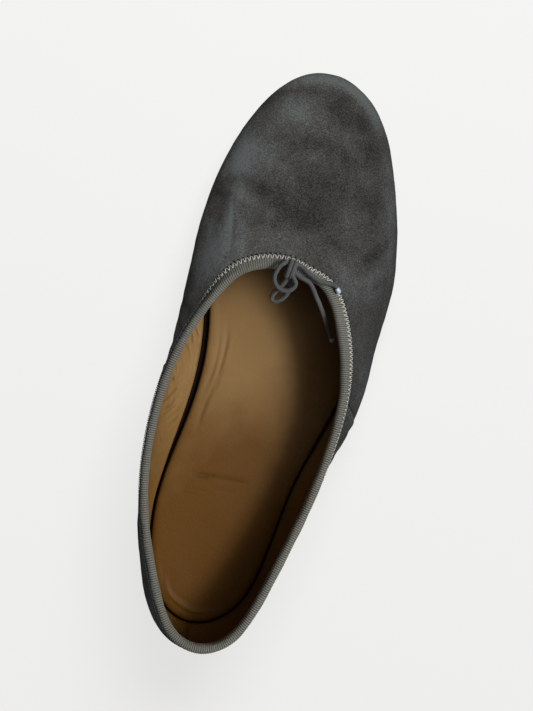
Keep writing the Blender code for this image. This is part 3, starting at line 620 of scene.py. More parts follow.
# %% Lining
LINING_GAP, FOLD_LEATHER = 0.00005, 0.0004                      # off the suede, and the height of a full fold
LINING_CREASES = [
    (-0.32, 0.9, [(-32, 90, 25), (-29, 93, 19), (-25, 99, 13)]),
    (-0.28, 0.8, [(-30, 88, 21), (-27, 93, 15), (-24, 97, 11)]),
    (-0.34, 1.0, [(-33, 92, 27), (-29, 96, 18), (-26, 101, 14)]),
    (-0.26, 0.9, [(-29, 85, 19), (-27, 88, 15), (-24, 94, 11)]),
    (-0.36, 1.2, [(-33, 96, 25), (-31, 99, 20), (-27, 105, 14)]),
    (-0.24, 0.8, [(-33, 84, 30), (-31, 87, 24), (-29, 90, 19)]),
    (-0.28, 1.0, [(-34, 102, 27), (-31, 106, 20), (-28, 109, 15)]),
    (-0.26, 1.0, [(-32, 113, 22), (-31, 109, 19), (-29, 104, 16)]),
    (-0.30, 1.0, [(-33, 119, 26), (-31, 114, 20), (-29, 110, 15)]),
    (-0.26, 0.8, [(-31, 122, 20), (-29, 117, 15), (-28, 112, 13)]),
    (-0.30, 0.9, [(-30, 126, 17), (-28, 121, 11), (-26, 115, 10)]),
    (0.50, 0.7, [(-26, 131, 7), (-25, 127, 7), (-24.5, 122, 7.5), (-24, 117, 8), (-23.5, 110, 9)]),
    (-0.50, 0.7, [(-28, 133, 10), (-26.5, 129, 8), (-25, 126, 7.5), (-25.2, 122, 8.5)]),
    (-0.45, 0.8, [(-31, 134, 14), (-29.5, 130, 11), (-27.5, 126, 10), (-27, 122, 10)]),
    (-0.35, 0.8, [(-33, 132, 20), (-31, 128, 15), (-30, 124, 14)]),
    (-0.30, 0.8, [(-30, 83, 21), (-29, 81, 19), (-28, 79, 17)]),
    (-0.25, 1.2, [(-36, 72, 30), (-33, 68, 22), (-31, 62, 16)]),
    (-0.20, 1.4, [(-36, 60, 30), (-34, 54, 22), (-31, 50, 15)]),
    (-0.30, 1.6, [(35, 60, 30), (34, 50, 22), (30, 42, 16)]),
    (-0.30, 1.6, [(38, 90, 28), (40, 80, 22), (38, 70, 16)]),
    (-0.30, 1.4, [(-24, 22, 38), (-21, 16, 28), (-18, 14, 20)]),
    (-0.25, 1.4, [(20, 18, 38), (16, 14, 28), (12, 12, 20)]),
]
# Paler along the inner wall: painted light. Darker round the heel.
LINING_PATCHES = [(-30, 118, 12, 34, 0, 0.60), (0, 30, 60, 45, 0, -0.45)]
LINING_SEAM = 0.0005                                            # breadth of the groove behind the heel
u, v = even_rows(560)[None, :], np.linspace(0, 1, 90)[:, None]
normal = wall_frame(u, v)[0]
seen = wall(u, v) - normal * WALL
slack = crease_height(seen, LINING_CREASES) + 0.00008 * ripple(seen, 0.014, 11)
relief = slack * smooth_step((1 - v) / 0.08) + back_seam(u, 0.00022, LINING_SEAM, 0.00010, 0.0016, 0.0008)
shell = shell_grid(u, seen - normal * relief[..., None], SUEDE_THICKNESS + LINING_GAP)
# fold darkens the colour at the seam behind the heel, a dark joint, and in the wrinkles' troughs, dirt together with
# painted shade.
lining = grid_piece("lining", shell, ("upper",), values={
    "fold": on_seen(2 * bell(from_back(u), LINING_SEAM) - relief / FOLD_LEATHER),
    "wear_and_painted_light": patch_sum(shell, LINING_PATCHES),
    "wrinkled": on_seen(np.exp(-((seen[..., 1] - 0.108) / 0.026) ** 4) * (seen[..., 0] < 0))})

# %% [markdown]
# ## The ribbon
#
# The collar is bound with grosgrain, a ribbon whose thick weft makes ribs straight across it, a little less than a
# millimetre apart. It is folded over the edge round the lace, so the edge is round. A bump in the shading would
# draw ribs too, but only real ones show at the fold's outline: so the folded section is carried round the collar in
# small steps, four for each rib.

# %% Ribbon round the collar
TAPE, FOLD_GAP, RIBBON_OUTSIDE, RIBBON_INSIDE = 0.0007, 0.0001, 0.0036, 0.0034
RIB, RIB_PITCH, STEPS_A_RIB = 0.00011, 0.00092, 4
LACE_BULGES, LACE_BULGE = 23, 0.00012
COLLAR_FINE = fine_rows(300)


def share_down(u, down):
    """v at that distance down from the collar: 1 less the distance over the wall's length per v at the collar."""
    return 1 - down / np.linalg.norm(wall_frame(u, np.ones_like(u))[1], axis=-1)


def collar_place(u, down, out):
    """A place by the collar for every pair of row number and section point: down the wall from its edge, or past the
    edge where down is below 0, and out from the wall's outside."""
    v = share_down(u, np.maximum(down, 0))
    normal, fall = wall_frame(u, v)
    return wall(u, v) + unit(fall) * np.minimum(down, 0)[..., None] + normal * out[..., None]


def collar_line(u):
    return wall(u, 1.0)


def ribbon_section():
    """The fold's section as (down, out) pairs, and how much of a rib each point carries: down the outside face, over
    a half circle round the wall's edge, down the inside face, and back along the wall."""
    fold, slot_in, start, rounding, corner = WALL / 2 + FOLD_GAP + TAPE, -WALL - FOLD_GAP, 0.0006, 0.0004, 0.00012
    face_out = [(RIBBON_OUTSIDE - corner, FOLD_GAP + 0.62 * TAPE)] + [
        (d, FOLD_GAP + TAPE) for d in np.linspace(RIBBON_OUTSIDE - rounding, start, 5)]
    turn = np.linspace(0, math.pi, 11)
    arc = np.column_stack([-fold * np.sin(turn), -WALL / 2 + fold * np.cos(turn)])
    face_in = [(d, slot_in - TAPE) for d in np.linspace(start, RIBBON_INSIDE - rounding, 4)] + [
        (RIBBON_INSIDE - corner, slot_in - 0.62 * TAPE)]
    rest = [(RIBBON_INSIDE, slot_in - 0.2 * TAPE), (RIBBON_INSIDE, slot_in), (0.5 * RIBBON_INSIDE, slot_in),
            (-FOLD_GAP, slot_in), (-FOLD_GAP, FOLD_GAP), (0.5 * RIBBON_OUTSIDE, FOLD_GAP),
            (RIBBON_OUTSIDE, FOLD_GAP), (RIBBON_OUTSIDE, FOLD_GAP + 0.2 * TAPE)]
    places = np.vstack([face_out, arc, face_in, rest])
    ribbed = np.r_[0.6, np.ones(len(places) - len(rest) - 2), 0.6, np.zeros(len(rest))]
    return places, ribbed


places, ribbed = ribbon_section()
collar_length = distances(collar_line(COLLAR_FINE))[-1]
ribs = round(collar_length / RIB_PITCH)
u = even_rows(ribs * STEPS_A_RIB, collar_line, COLLAR_FINE)
grid = collar_place(u[None, :], *(np.broadcast_to(p[:, None], (len(p), len(u))) for p in places.T))
wave = np.cos(np.arange(len(u)) / STEPS_A_RIB * 2 * math.pi)
sideways = unit(np.cross(np.roll(grid, -1, 1) - np.roll(grid, 1, 1), np.roll(grid, -1, 0) - np.roll(grid, 1, 0)))
if (sideways[10, :, 2] < 0).all():                              # a row on top of the fold, which faces up
    sideways = -sideways
bulges = np.sin(np.arange(len(u)) / len(u) * 2 * math.pi * LACE_BULGES) * bell(places[:, :1] + 0.0004, 0.0016)
grid = grid + sideways * (RIB * wave * ribbed[:, None] + LACE_BULGE * bulges)[..., None]
ribbon = grid_piece("ribbon", grid, ("binding",), sharp=70.0, values={
    "rib": np.tile(0.5 + 0.5 * wave, len(places)), "across": np.repeat(np.linspace(0, 1, len(places)), len(u))})
print(ribs, "ribs on", round(collar_length * 1000), "mm of collar")

# %% [markdown]
# ## The zigzag stitch
#
# A zigzag in a paler thread holds the ribbon's outer edge to the suede. Each stroke is a short piece of thread that
# comes up, lies over the edge and goes down again. They could be copies of one object, but each one bends with the
# collar. So all strokes are one array: the number of the stroke, the step along it, and the point round the thread.

# %% Zigzag strokes
STITCH_PITCH, THREAD, STROKE_IN, STROKE_OUT, STROKE_GAP = 0.00085, 0.00018, 0.0018, 0.0005, 0.07
ABOVE, DIVE = 0.00012, 0.0005                                   # clear of the ribbon, and down again at both ends
TAPER = THREAD * np.array([0.02, 0.8, 1, 1, 1, 0.8, 0.02])      # radius at the steps of a stroke
strokes = 2 * round(collar_length / STITCH_PITCH / 2)
share = np.linspace(0, 1, len(TAPER))
edge_u = even_rows(strokes, collar_line, COLLAR_FINE)
ahead = (np.roll(edge_u, -1) - edge_u) % len(TABLE)
swing = np.where(np.arange(strokes) % 2, share[:, None], 1 - share[:, None]).T      # from side to side of the edge
down = RIBBON_OUTSIDE + STROKE_OUT - (STROKE_IN + STROKE_OUT) * swing
over = smooth_step((RIBBON_OUTSIDE - down + 0.00035) / 0.0005)
lift = FOLD_GAP + (TAPE + RIB * 0.5) * over + THREAD * 0.9 - DIVE * (2 * share - 1) ** 6
stroke_u = edge_u[:, None] + ahead[:, None] * (share * (1 - 2 * STROKE_GAP) + STROKE_GAP)
threads = tube_grid(collar_place(stroke_u, down, lift + ABOVE), TAPER, 6, wall_frame(stroke_u, 0.9)[0])
stitch = piece_of_many("zigzag_stitch", threads)
print(strokes, "strokes")

# %% [markdown]
# Where the needle went into the suede there is a small pit, and it shows as a dark dot of shade. Cutting two
# hundred holes would cost much and show little, so each is a tiny cap that rises out of the suede by a sixth of a
# millimetre, coloured near black as painted shade.

# %% Needle holes
HOLE, HOLE_LENGTH, HOLE_DOWN, CAP_TOP, CAP_FALL, CAP_DEPTH = 0.00044, 1.5, 0.00085, 0.00016, 0.00022, 0.0002
hole_u = edge_u[::2] + ahead[::2] * 0.5
hole_down = np.full_like(hole_u, RIBBON_OUTSIDE + HOLE_DOWN)
normal, fall = (unit(way)[:, None, None] for way in wall_frame(hole_u, share_down(hole_u, hole_down)))
reach = np.linspace(0, 1, 4)[:, None, None]                     # rings of the cap, from its middle to its rim
angle = np.linspace(0, 2 * math.pi, 8, endpoint=False)[:, None]
disc = HOLE * reach * (np.cross(normal, fall) * np.cos(angle) + fall * np.sin(angle) * HOLE_LENGTH)
caps = collar_place(hole_u, hole_down, np.zeros_like(hole_u))[:, None, None] + disc + normal * (
    CAP_TOP - CAP_FALL * reach**2)
base = caps[:, -1:] - normal * CAP_DEPTH
caps = np.concatenate([caps, base, np.broadcast_to(base.mean(axis=2, keepdims=True), base.shape)], axis=1)
holes = piece_of_many("needle_holes", caps)
print(len(hole_u), "needle holes")

# %% [markdown]
# ## Plates under the foot: insole, outsole and heel
#
# A sole is a plate cut to the outline. It could be the outline pushed up and bevelled, but that has one round edge
# for all and a flat top. As a surface it starts on the middle line underneath, runs out to the edge, round it, and
# back to the middle line on top. Every column of the grid is one such line, and the columns go round the outline,
# so the two sides meet on the middle line and are merged there.

# %% A plate as a surface
def lifted(plan, heights):
    """Plan places with their heights."""
    return np.concatenate([plan, np.broadcast_to(heights, plan.shape[:-1])[..., None]], axis=-1)


def plate(u, margin, edge, bottom, top, steps, relief=None):
    """Columns go round the outline, rows from the middle line below, over the edge's section (inset, share of the
    height), to the middle line on top. A point between the edge and the middle is their weighted mean, and its
    height comes from bottom or top at its own place. relief adds height to the top's rows."""
    inset, share = np.array(edge).T
    rim = foot_line(u) + plan_normal(u) * (margin - inset[:, None, None])
    middle = (rim + rim[:, -np.arange(len(u))]) / 2             # each column with its partner on the other side
    low, high = bottom(rim[..., 1]), top(rim[..., 1])
    inward = 1 - np.linspace(0, 1, steps + 1)[1:, None, None] ** 0.9
    under, over = (middle[end] + (rim[end] - middle[end]) * inward for end in (0, -1))
    grid = np.concatenate([lifted(under, bottom(under[..., 1]))[::-1],
                           lifted(rim, low + (high - low) * share[:, None]),
                           lifted(over, top(over[..., 1]))])
    if relief is not None:
        grid[-steps - 1:, :, 2] += relief(grid[-steps - 1:])
    return grid


def even_pairs(count):
    """Row numbers round the outline in pairs: the same number on each side of the line from heel to toe."""
    length = distances(foot_line(FINE))
    tip = np.interp(ROWS["toe tip"], FINE, length)
    outer, inner = (np.interp(np.linspace(*ends, count // 2 + 1), length, FINE)
                    for ends in ((0, tip), (tip, length[-1])))
    return np.concatenate([outer, inner[1:-1]])


# %% [markdown]
# The insole is leather over a thin cushion, so its edge is round and its top gives under the foot. It keeps shallow
# wrinkles across the waist, long faint ones by the inner side, and a bright rolled line round the heel. A bump
# could draw all of them, but in light from the side only real ones shade each other.

# %% Insole
INSOLE_EDGE = ((0.0006, 0), (0.0001, 0.14), (0, 0.3), (0, 0.5), (0.0002, 0.68), (0.0007, 0.84), (0.0015, 0.94),
               (0.0026, 0.985), (0.0036, 1.0))
INSOLE_CREASES = [
    (-0.62, 0.7, [(-17, 71, 14), (-8, 70.5, 14), (1, 71.3, 14), (12, 72, 14)]),
    (-0.54, 0.65, [(-16, 69, 14), (-9, 69.6, 14), (-4, 71.2, 14)]),
    (-0.30, 0.9, [(-19, 62, 14), (-10, 62.6, 14), (-2, 63.4, 14)]),
    (-0.24, 0.9, [(-8, 66, 14), (2, 66.6, 14), (12, 68, 14)]),
    (-0.30, 1.3, [(-16, 140, 9), (-14, 129, 9), (-13.5, 119, 10), (-14, 110, 10), (-16, 99, 11), (-17, 84, 12)]),
    (-0.24, 1.1, [(-18.5, 134, 9), (-16.5, 125, 9), (-16.5, 116, 10), (-17.2, 106, 10), (-18.5, 92, 11)]),
    (-0.12, 1.8, [(-21, 128, 9), (-20, 116, 10), (-20, 104, 11)]),
    (-0.14, 2.0, [(-12, 136, 9), (0, 139, 9), (12, 137, 9)]),
    (0.50, 1.5, [(-15, 25, 14), (-11, 18, 14), (-4, 14, 14), (3, 12.8, 14), (11, 15.5, 14)]),
]


def insole_bottom(along):
    return sole_top(along) + CLEARANCE


def insole_relief(grid):
    """Creases, a soft hollow under the heel and the ball, and a little unevenness."""
    hollow = -patch_sum(grid, [(0, 30, 17, 22, 0, 0.0006), (2, 168, 26, 26, 0, 0.0007)])
    return crease_height(grid, INSOLE_CREASES) + hollow + 0.00006 * ripple(grid, 0.016, 17)


def insole_gap(u):
    """The insole stands off the lining by a hair all round and by more along the inner arch, where the wall leans
    out: a bell curve along the foot, on the inner side alone."""
    plan = foot_line(u)
    arch = np.exp(-((plan[..., 1] - 0.118) / 0.040) ** 4) * (plan[..., 0] < 0)
    return (0.0002 + 0.0011 * arch + 0.0003 * bell(plan[..., 1] - 0.030, 0.030))[:, None]


INSOLE_STEPS = 46
u = even_pairs(420)
grid = plate(u, -(WALL + CLEARANCE) - insole_gap(u), INSOLE_EDGE, insole_bottom,
             lambda along: insole_bottom(along) + INSOLE_THICKNESS, INSOLE_STEPS, insole_relief)
# insole_fold darkens the colour in the creases' troughs: dirt together with painted shade.
insole_fold = np.zeros(grid.shape[:2])
insole_fold[INSOLE_STEPS:] = -crease_height(grid[INSOLE_STEPS:], INSOLE_CREASES) / FOLD_LEATHER
# Patches as on the suede. An amount above 0 is a pale haze, wear together with painted sheen. Below 0 is darker,
# wear together with painted shade towards the heel, the waist and the outer side.
INSOLE_WEAR_AND_LIGHT_PATCHES = [(-2, 150, 26, 26, 0, 0.90), (-6, 118, 18, 18, 0, 0.45), (4, 84, 26, 22, 0, -0.35),
                (2, 40, 34, 36, 0, -0.95), (14, 62, 9, 34, 0, -0.25), (-2, 100, 5, 7, 20, -0.10)]
insole = grid_piece("insole_sock", grid, ("insole",), ring=False, sharp=60.0, values={
    "fold": insole_fold, "wear_and_painted_light": patch_sum(grid, INSOLE_WEAR_AND_LIGHT_PATCHES)})

# %% Outsole
OUTSOLE_EDGE = ((0.0014, 0), (0.0008, 0.05), (0.0004, 0.14), (0.0001, 0.3), (0, 0.5), (0, 0.75), (0.0002, 0.9),
                (0.0006, 1.0))
grid = plate(even_pairs(360), OUTSOLE_MARGIN, OUTSOLE_EDGE, tread_up, sole_top, 22)
outsole = grid_piece("leather_outsole", grid, ("outsole",), ring=False, sharp=60.0)


# %% [markdown]
# The heel is a low block of stacked leather on a rubber top piece. Its outline is the sole's behind the breast, and
# the breast is a straight cut across. A box cut to shape would do, but a stack of outlines keeps the sole's curve
# and takes the groove between leather and rubber with it.

# %% Heel
def heel_rows(count):
    """Row numbers of the outline behind the breast, from the inner side round the back to the outer one."""
    along, tip = foot_line(FINE)[:, 1], ROWS["toe tip"] * FINE_STEPS
    outer = np.interp(HEEL_BREAST, along[:tip], FINE[:tip])
    inner = np.interp(-HEEL_BREAST, -along[tip:], FINE[tip:])
    return np.linspace(inner - len(TABLE), outer, count)


HEEL_EDGE = ((0.0018, 0.0), (0.0013, 0.03), (0.0010, 0.10), (0.0008, 0.26), (0.00105, 0.275), (0.00075, 0.29),
             (0.0005, 0.60), (0.0002, 0.85), (0.0, 1.0))
HEEL_INSET = 0.0010                                             # behind the outsole's edge
u = heel_rows(121)
inset, share = np.array(HEEL_EDGE).T
rim = foot_line(u) + plan_normal(u) * (OUTSOLE_MARGIN - HEEL_INSET - inset[:, None, None])
rim[..., 1] = np.minimum(rim[..., 1], HEEL_BREAST - inset[:, None] * 0.5)
breast = rim[:, -1:] + (rim[:, :1] - rim[:, -1:]) * np.linspace(0, 1, 26)[1:-1, None]
rim = lifted(np.concatenate([rim, breast], axis=1), (share * (HEEL_HEIGHT - CLEARANCE))[:, None])
centre = rim.mean(axis=1, keepdims=True)
inward = np.array([0.75, 0.5, 0.25, 0])[:, None, None]
under, over = centre[0] + (rim[0] - centre[0]) * inward[::-1], centre[-1] + (rim[-1] - centre[-1]) * inward
heel = grid_piece("stacked_heel", np.concatenate([under, rim, over]), ("heel",), ring=False, sharp=35.0)

# %% [markdown]
# ## Shader maths in plain Python
#
# A material is a net of nodes. Written by hand such a net is long, so a small class wraps a socket, and the usual
# signs build it: a * b + 1 adds a Multiply and an Add node. One method makes every other kind of node.


# %% Sockets that can be added and multiplied
class Value:
    """A node's output. Signs between it and numbers or other outputs add Math nodes."""

    def __init__(self, finish, socket):
        self.finish, self.socket = finish, socket

    def maths(self, operation, *others, **more):
        return self.finish.node("Math", {"operation": operation, **more}, dict(enumerate(others)))

    def __add__(self, other): return self.maths("ADD", self, other)
    def __sub__(self, other): return self.maths("SUBTRACT", self, other)
    def __rsub__(self, other): return self.maths("SUBTRACT", other, self)
    def __mul__(self, other): return self.maths("MULTIPLY", self, other)
    __radd__, __rmul__ = __add__, __mul__

    def sine(self): return self.maths("SINE", self)
    def clipped(self): return self.maths("ADD", self, 0.0, use_clamp=True)

    def between(self, low, high):
        """0 at low, 1 at high and a smooth step between."""
        return self.finish.node("MapRange", {"interpolation_type": "SMOOTHSTEP"}, {0: self, 1: low, 2: high})


class Finish:
    """A material under construction: a Principled shader with its constants, and methods that add nodes."""

    def __init__(self, name, roughness, **constants):
        self.material = bpy.data.materials.new(name)
        self.material.use_nodes = True
        self.nodes, self.links = self.material.node_tree.nodes, self.material.node_tree.links
        self.shader = self.nodes["Principled BSDF"]
        self.shader.inputs["Roughness"].default_value = roughness
        for key, value in constants.items():
            self.shader.inputs[key.replace("_", " ")].default_value = value
        self.place = Value(self, self.nodes.new("ShaderNodeTexCoord").outputs["Object"])

    def fill(self, socket, value):
        if isinstance(value, Value):
            self.links.new(value.socket, socket)
        else:
            socket.default_value = value

    def node(self, kind, settings=None, sockets=None, out=0):
        """Adds a node: its settings first, then its sockets by name or number. out picks the output."""
        made = self.nodes.new("ShaderNode" + kind)
        for key, value in (settings or {}).items():
            setattr(made, key, value)
        for key, value in (sockets or {}).items():
            self.fill(made.inputs[key], value)
        return Value(self, made.outputs[out])

    def noise(self, size, detail=2.0, rough=0.5, stretch=(1, 1, 1), twist=0.0):
        """Soft noise whose lumps are about size metres, drawn out by stretch."""
        place = self.node("Mapping", {}, {"Vector": self.place, "Scale": stretch, "Rotation": (0, 0, twist)})
        return self.node("TexNoise", {}, {"Vector": place, "Scale": 1 / size, "Detail": detail, "Roughness": rough})

    def cells(self, size):
        """Distance to the nearest of scattered points about size metres apart, as leather's pores."""
        return self.node("TexVoronoi", {}, {"Vector": self.place, "Scale": 1 / size})

    def point(self, name):
        """A number kept on the piece's points."""
        return self.node("Attribute", {"attribute_name": name}, out="Fac")

    def mix(self, share, first, second):
        """first where share is 0 and second where it is 1. Colours are three numbers."""
        colours = [c if isinstance(c, Value) else (*c, 1.0) for c in (first, second)]
        return self.node("Mix", {"data_type": "RGBA"}, {0: share, 6: colours[0], 7: colours[1]}, out=2)

    def bump(self, height, depth, under=None):
        """A Bump node of that depth in metres. under is the normal that it starts from."""
        sockets = {"Height": height, "Distance": depth, "Strength": 1.0}
        return self.node("Bump", {}, sockets if under is None else {**sockets, "Normal": under})

    def done(self, *pieces, **links):
        for key, value in links.items():
            self.fill(self.shader.inputs[key.replace("_", " ")], value)
        for piece in pieces:
            piece.data.materials.clear()
            piece.data.materials.append(self.material)
        print("material", self.material.name, "has", len(self.nodes), "nodes")


# %% [markdown]
# ## Suede
#
# Four scales make suede: patches a hand has brushed, with painted sheen and painted shade among them, clouds a
# centimetre or so wide, a mottle of a few millimetres, and the nap itself, light and dark fibres half a millimetre
# apart. Along the side seams two pale lines lie on the lap, rubbed wear together with a painted highlight on its
# rolled edge, and a dark line of painted shade lies before it. Creases and the raised lap are painted paler on
# their ridges and darker in their troughs, which is painted light and shade. The patches, creases and seams come
# from the numbers on the points, the rest from noise. The nap scatters light at its tips, which the shader's sheen
# does. Hair would be the real thing, millions of them, and a photographed texture would repeat.

# %% Suede material
SUEDE_DARK, SUEDE_MID, SUEDE_PALE = (0.018, 0.016, 0.0145), (0.056, 0.054, 0.051), (0.114, 0.126, 0.127)
finish = Finish("grey_suede", 0.95, Sheen_Weight=0.10, Sheen_Roughness=0.5, Sheen_Tint=(0.26, 0.29, 0.30, 1.0),
                Specular_IOR_Level=0.15)
cloud = finish.noise(0.014, 4.0, 0.6)
mottle = finish.noise(0.0048, 4.0, 0.65, (1.0, 0.7, 1.0), 0.3)
fibre = finish.noise(0.0007, 2.0, 0.7)
hair = finish.noise(0.00035, 1.0, 0.6)
seam = finish.point("seam")


def seam_line(start, full, fading, end):
    """A line along the seam: it comes in over the first two distances in millimetres, and goes over the last two."""
    return seam.between(start, full) * seam.between(end, fading)


# Two pale lines on the lap: rubbed wear together with a painted highlight on its rolled edge. A dark line before the
# lap: painted shade.
rubbed_and_highlit = seam_line(-1.9, -1.3, -1.2, -0.7) + seam_line(-3.6, -3.0, -2.9, -2.4) * 0.7
painted_seam_shade = seam_line(-0.6, 0.1, 0.4, 1.0)
# Brushed nap with painted sheen and shade, clouds, mottle, and fold: ridges painted paler and troughs darker as light
# and shade. Then the seam lines.
lie_and_painted_light = (finish.point("nap_and_painted_light") * 0.50 + (cloud - 0.5) * 0.52 + (mottle - 0.5) * 0.50 + finish.point("fold") * 0.16
       + rubbed_and_highlit * 0.55 - painted_seam_shade * 0.65)
grain = (fibre - 0.5) * 1.4 + (hair - 0.5) * 0.8
tone = (lie_and_painted_light + grain * 0.95 + 0.5).clipped()
colour = finish.mix(tone.between(0.0, 0.52), SUEDE_DARK, SUEDE_MID)
colour = finish.mix(tone.between(0.48, 1.0), colour, SUEDE_PALE)
nap_bump = finish.bump(fibre * 0.7 + hair * 0.3, 0.00035, finish.bump(mottle, 0.00045))
finish.done(suede, Base_Color=colour, Normal=nap_bump)

# %% [markdown]
# ## Tan leather
#
# The lining and the insole are smooth-grained calf: fine pores, a colour that warms in clouds, darker lines in the
# creases where dirt gathers, with painted shade in them as well, and a pale haze where a foot has rubbed it, which
# is also painted sheen. Patches towards the insole's heel and waist are darker, wear together with painted shade,
# the lining is darker round the heel, and the lining's inner wall is paler with painted light. One even brown would
# look like plastic, so noise, cells for the pores and the numbers on the points all have a say in it.

# %% Lining and insole materials
TAN_WEAR_AND_SHADE, TAN_PALE, TAN_DEEP = (0.106, 0.046, 0.0065), (0.228, 0.136, 0.052), (0.060, 0.024, 0.003)


def tan_leather(name, piece, roughness, coat):
    finish = Finish(name, roughness, Coat_Weight=coat, Coat_Roughness=0.35, Specular_IOR_Level=0.09)
    cloud, mottle = finish.noise(0.030, 3.0, 0.55), finish.noise(0.006, 3.0, 0.6)
    pores, grain = finish.cells(0.0009), finish.noise(0.0011, 3.0, 0.6)
    # The patch number brings wear together with painted light, painted sheen and painted shade.
    wear_and_painted_light = finish.point("wear_and_painted_light") + (cloud - 0.5) * 0.7 + (mottle - 0.5) * 0.3 + 0.5
    colour = finish.mix(wear_and_painted_light.clipped(), TAN_WEAR_AND_SHADE, TAN_PALE)
    # Darker in the creases' troughs, dirt together with painted shade, and at the lining's back seam, a dark joint.
    colour = finish.mix(finish.point("fold").between(0.15, 1.1) * 0.50, colour, TAN_DEEP)
    colour = finish.mix(pores.between(0.25, 0.0) * 0.18, colour, TAN_DEEP)
    rough = (mottle - 0.5) * 0.25 + (roughness + 0.02)
    streaks = finish.noise(0.0030, 3.0, 0.5, (1.0, 0.42, 0.42), math.radians(-35))
    fine = finish.bump(grain, 0.00005, finish.bump(pores, 0.00004))
    bump = finish.bump(streaks * finish.point("wrinkled"), 0.0011, fine)
    finish.done(piece, Base_Color=colour, Roughness=rough, Normal=bump)


tan_leather("lining_calf", lining, 0.45, 0.03)
tan_leather("insole_calf", insole, 0.48, 0.01)

# %% [markdown]
# ## Ribbon, thread and lace
#
# Grosgrain shows light ribs and dark gaps, each rib made of fine threads along it. Here the ribs are painted paler
# and the gaps darker as light and shade, and the edge beside the stitches darker as shade. The stitches are a
# paler, slightly shiny thread. The lace is a fine round braid in the suede's grey, its strands crossing in two
# spirals, and its tips are dipped in a clear coating that looks pale and bluish. The ribs and strands could be
# noise in space, but they follow the cord and the collar only as numbers on the points.

# %% Ribbon material
finish = Finish("grosgrain", 0.75, Sheen_Weight=0.15, Sheen_Roughness=0.5, Specular_IOR_Level=0.25)
rib, across = finish.point("rib"), finish.point("across")
wear = finish.noise(0.008, 3.0, 0.6)
threads = finish.noise(0.0004, 2.0, 0.6)
painted_stitch_shade = across.between(0.0, 0.10) * 0.45 + 0.55          # darker beside the stitches: painted shade
# Rib tops paler and the gaps between them darker, in step with the ribs' relief: painted light and painted shade.
colour = finish.mix(((rib * 1.15 + (threads - 0.5) * 0.5 + (wear - 0.5) * 0.4) * painted_stitch_shade).clipped(),
                    (0.028, 0.028, 0.024), (0.178, 0.178, 0.155))
finish.done(ribbon, Base_Color=colour, Normal=finish.bump(threads, 0.00012))

# %% Thread material
finish = Finish("pale_thread", 0.55, Sheen_Weight=0.2, Specular_IOR_Level=0.4)
ply = finish.noise(0.0005, 2.0, 0.6)
finish.done(stitch, Base_Color=finish.mix(ply, (0.36, 0.37, 0.35), (0.76, 0.77, 0.72)),
            Normal=finish.bump(ply, 0.00008))

# The caps are coloured near black: painted shade of the needle holes.
finish = Finish("painted_hole_shade", 0.95, Specular_IOR_Level=0.05)
speck = finish.noise(0.0006, 2.0, 0.6)
finish.done(holes, Base_Color=finish.mix(speck, (0.006, 0.006, 0.006), (0.020, 0.020, 0.020)))

# %% Lace and tip materials
finish = Finish("braided_lace", 0.70, Sheen_Weight=0.25, Sheen_Roughness=0.4, Specular_IOR_Level=0.3)
along, turn = finish.point("cord_along"), finish.point("cord_turn")
STRANDS, SLANT = 4.0, 2.6                                       # crossings round the cord, and in a cord's width
braid = (((turn * STRANDS + along * SLANT) * (2 * math.pi)).sine()
         * ((turn * STRANDS - along * SLANT) * (2 * math.pi)).sine())
fuzz = finish.noise(0.0005, 2.0, 0.6)
tone = (braid * 0.28 + (fuzz - 0.5) * 0.7 + 0.5).clipped()
finish.done(laces["lace_outer"][0], laces["lace_inner"][0], knot,
            Base_Color=finish.mix(tone, (0.030, 0.032, 0.033), (0.112, 0.124, 0.128)),
            Normal=finish.bump(braid * 0.5 + fuzz * 0.6, 0.00016))

finish = Finish("dipped_tip", 0.30, Coat_Weight=0.5, Coat_Roughness=0.15)
cloud = finish.noise(0.0012, 2.0, 0.5)
finish.done(*tips.values(), Base_Color=finish.mix(cloud, (0.28, 0.33, 0.44), (0.52, 0.59, 0.72)),
            Normal=finish.bump(cloud, 0.0001))

# %% [markdown]
# ## Sole and heel
#
# The outsole is undyed leather below and stained dark at the edge, rubbed where it meets the floor. Its top shows
# only in the gap beside the insole and is coloured near black there, as painted shade. The heel's upper part is a
# stack of leather and its top piece is rubber. Each of these could be a piece of its own, but a face's direction or
# its height is enough to pick the colour.

# %% Sole and heel materials
finish = Finish("sole_leather", 0.60, Specular_IOR_Level=0.04)
cloud, grain = finish.noise(0.025, 4.0, 0.6), finish.noise(0.0016, 3.0, 0.6, (1.0, 0.4, 1.0))
scuff = finish.noise(0.006, 4.0, 0.7, (1.0, 0.3, 1.0))
facing = finish.node("SeparateXYZ", {}, {0: finish.node("NewGeometry", out="Normal")}, out=2)
under = (0.0 - facing).between(0.35, 0.8)
colour = finish.mix((cloud * 0.7 + grain * 0.5 - 0.1).clipped(), (0.20, 0.122, 0.066), (0.36, 0.245, 0.150))
colour = finish.mix(scuff.between(0.52, 0.75) * 0.55, colour, (0.10, 0.075, 0.052))
colour = finish.mix(1 - under, colour, (0.026, 0.022, 0.018))
# Faces that look up, seen only in the gap beside the insole, are near black: painted shade.
colour = finish.mix(facing.between(0.7, 0.9), colour, (0.006, 0.003, 0.002))
finish.done(outsole, Base_Color=colour, Roughness=(grain - 0.5) * 0.3 + 0.6, Normal=finish.bump(grain, 0.00018))

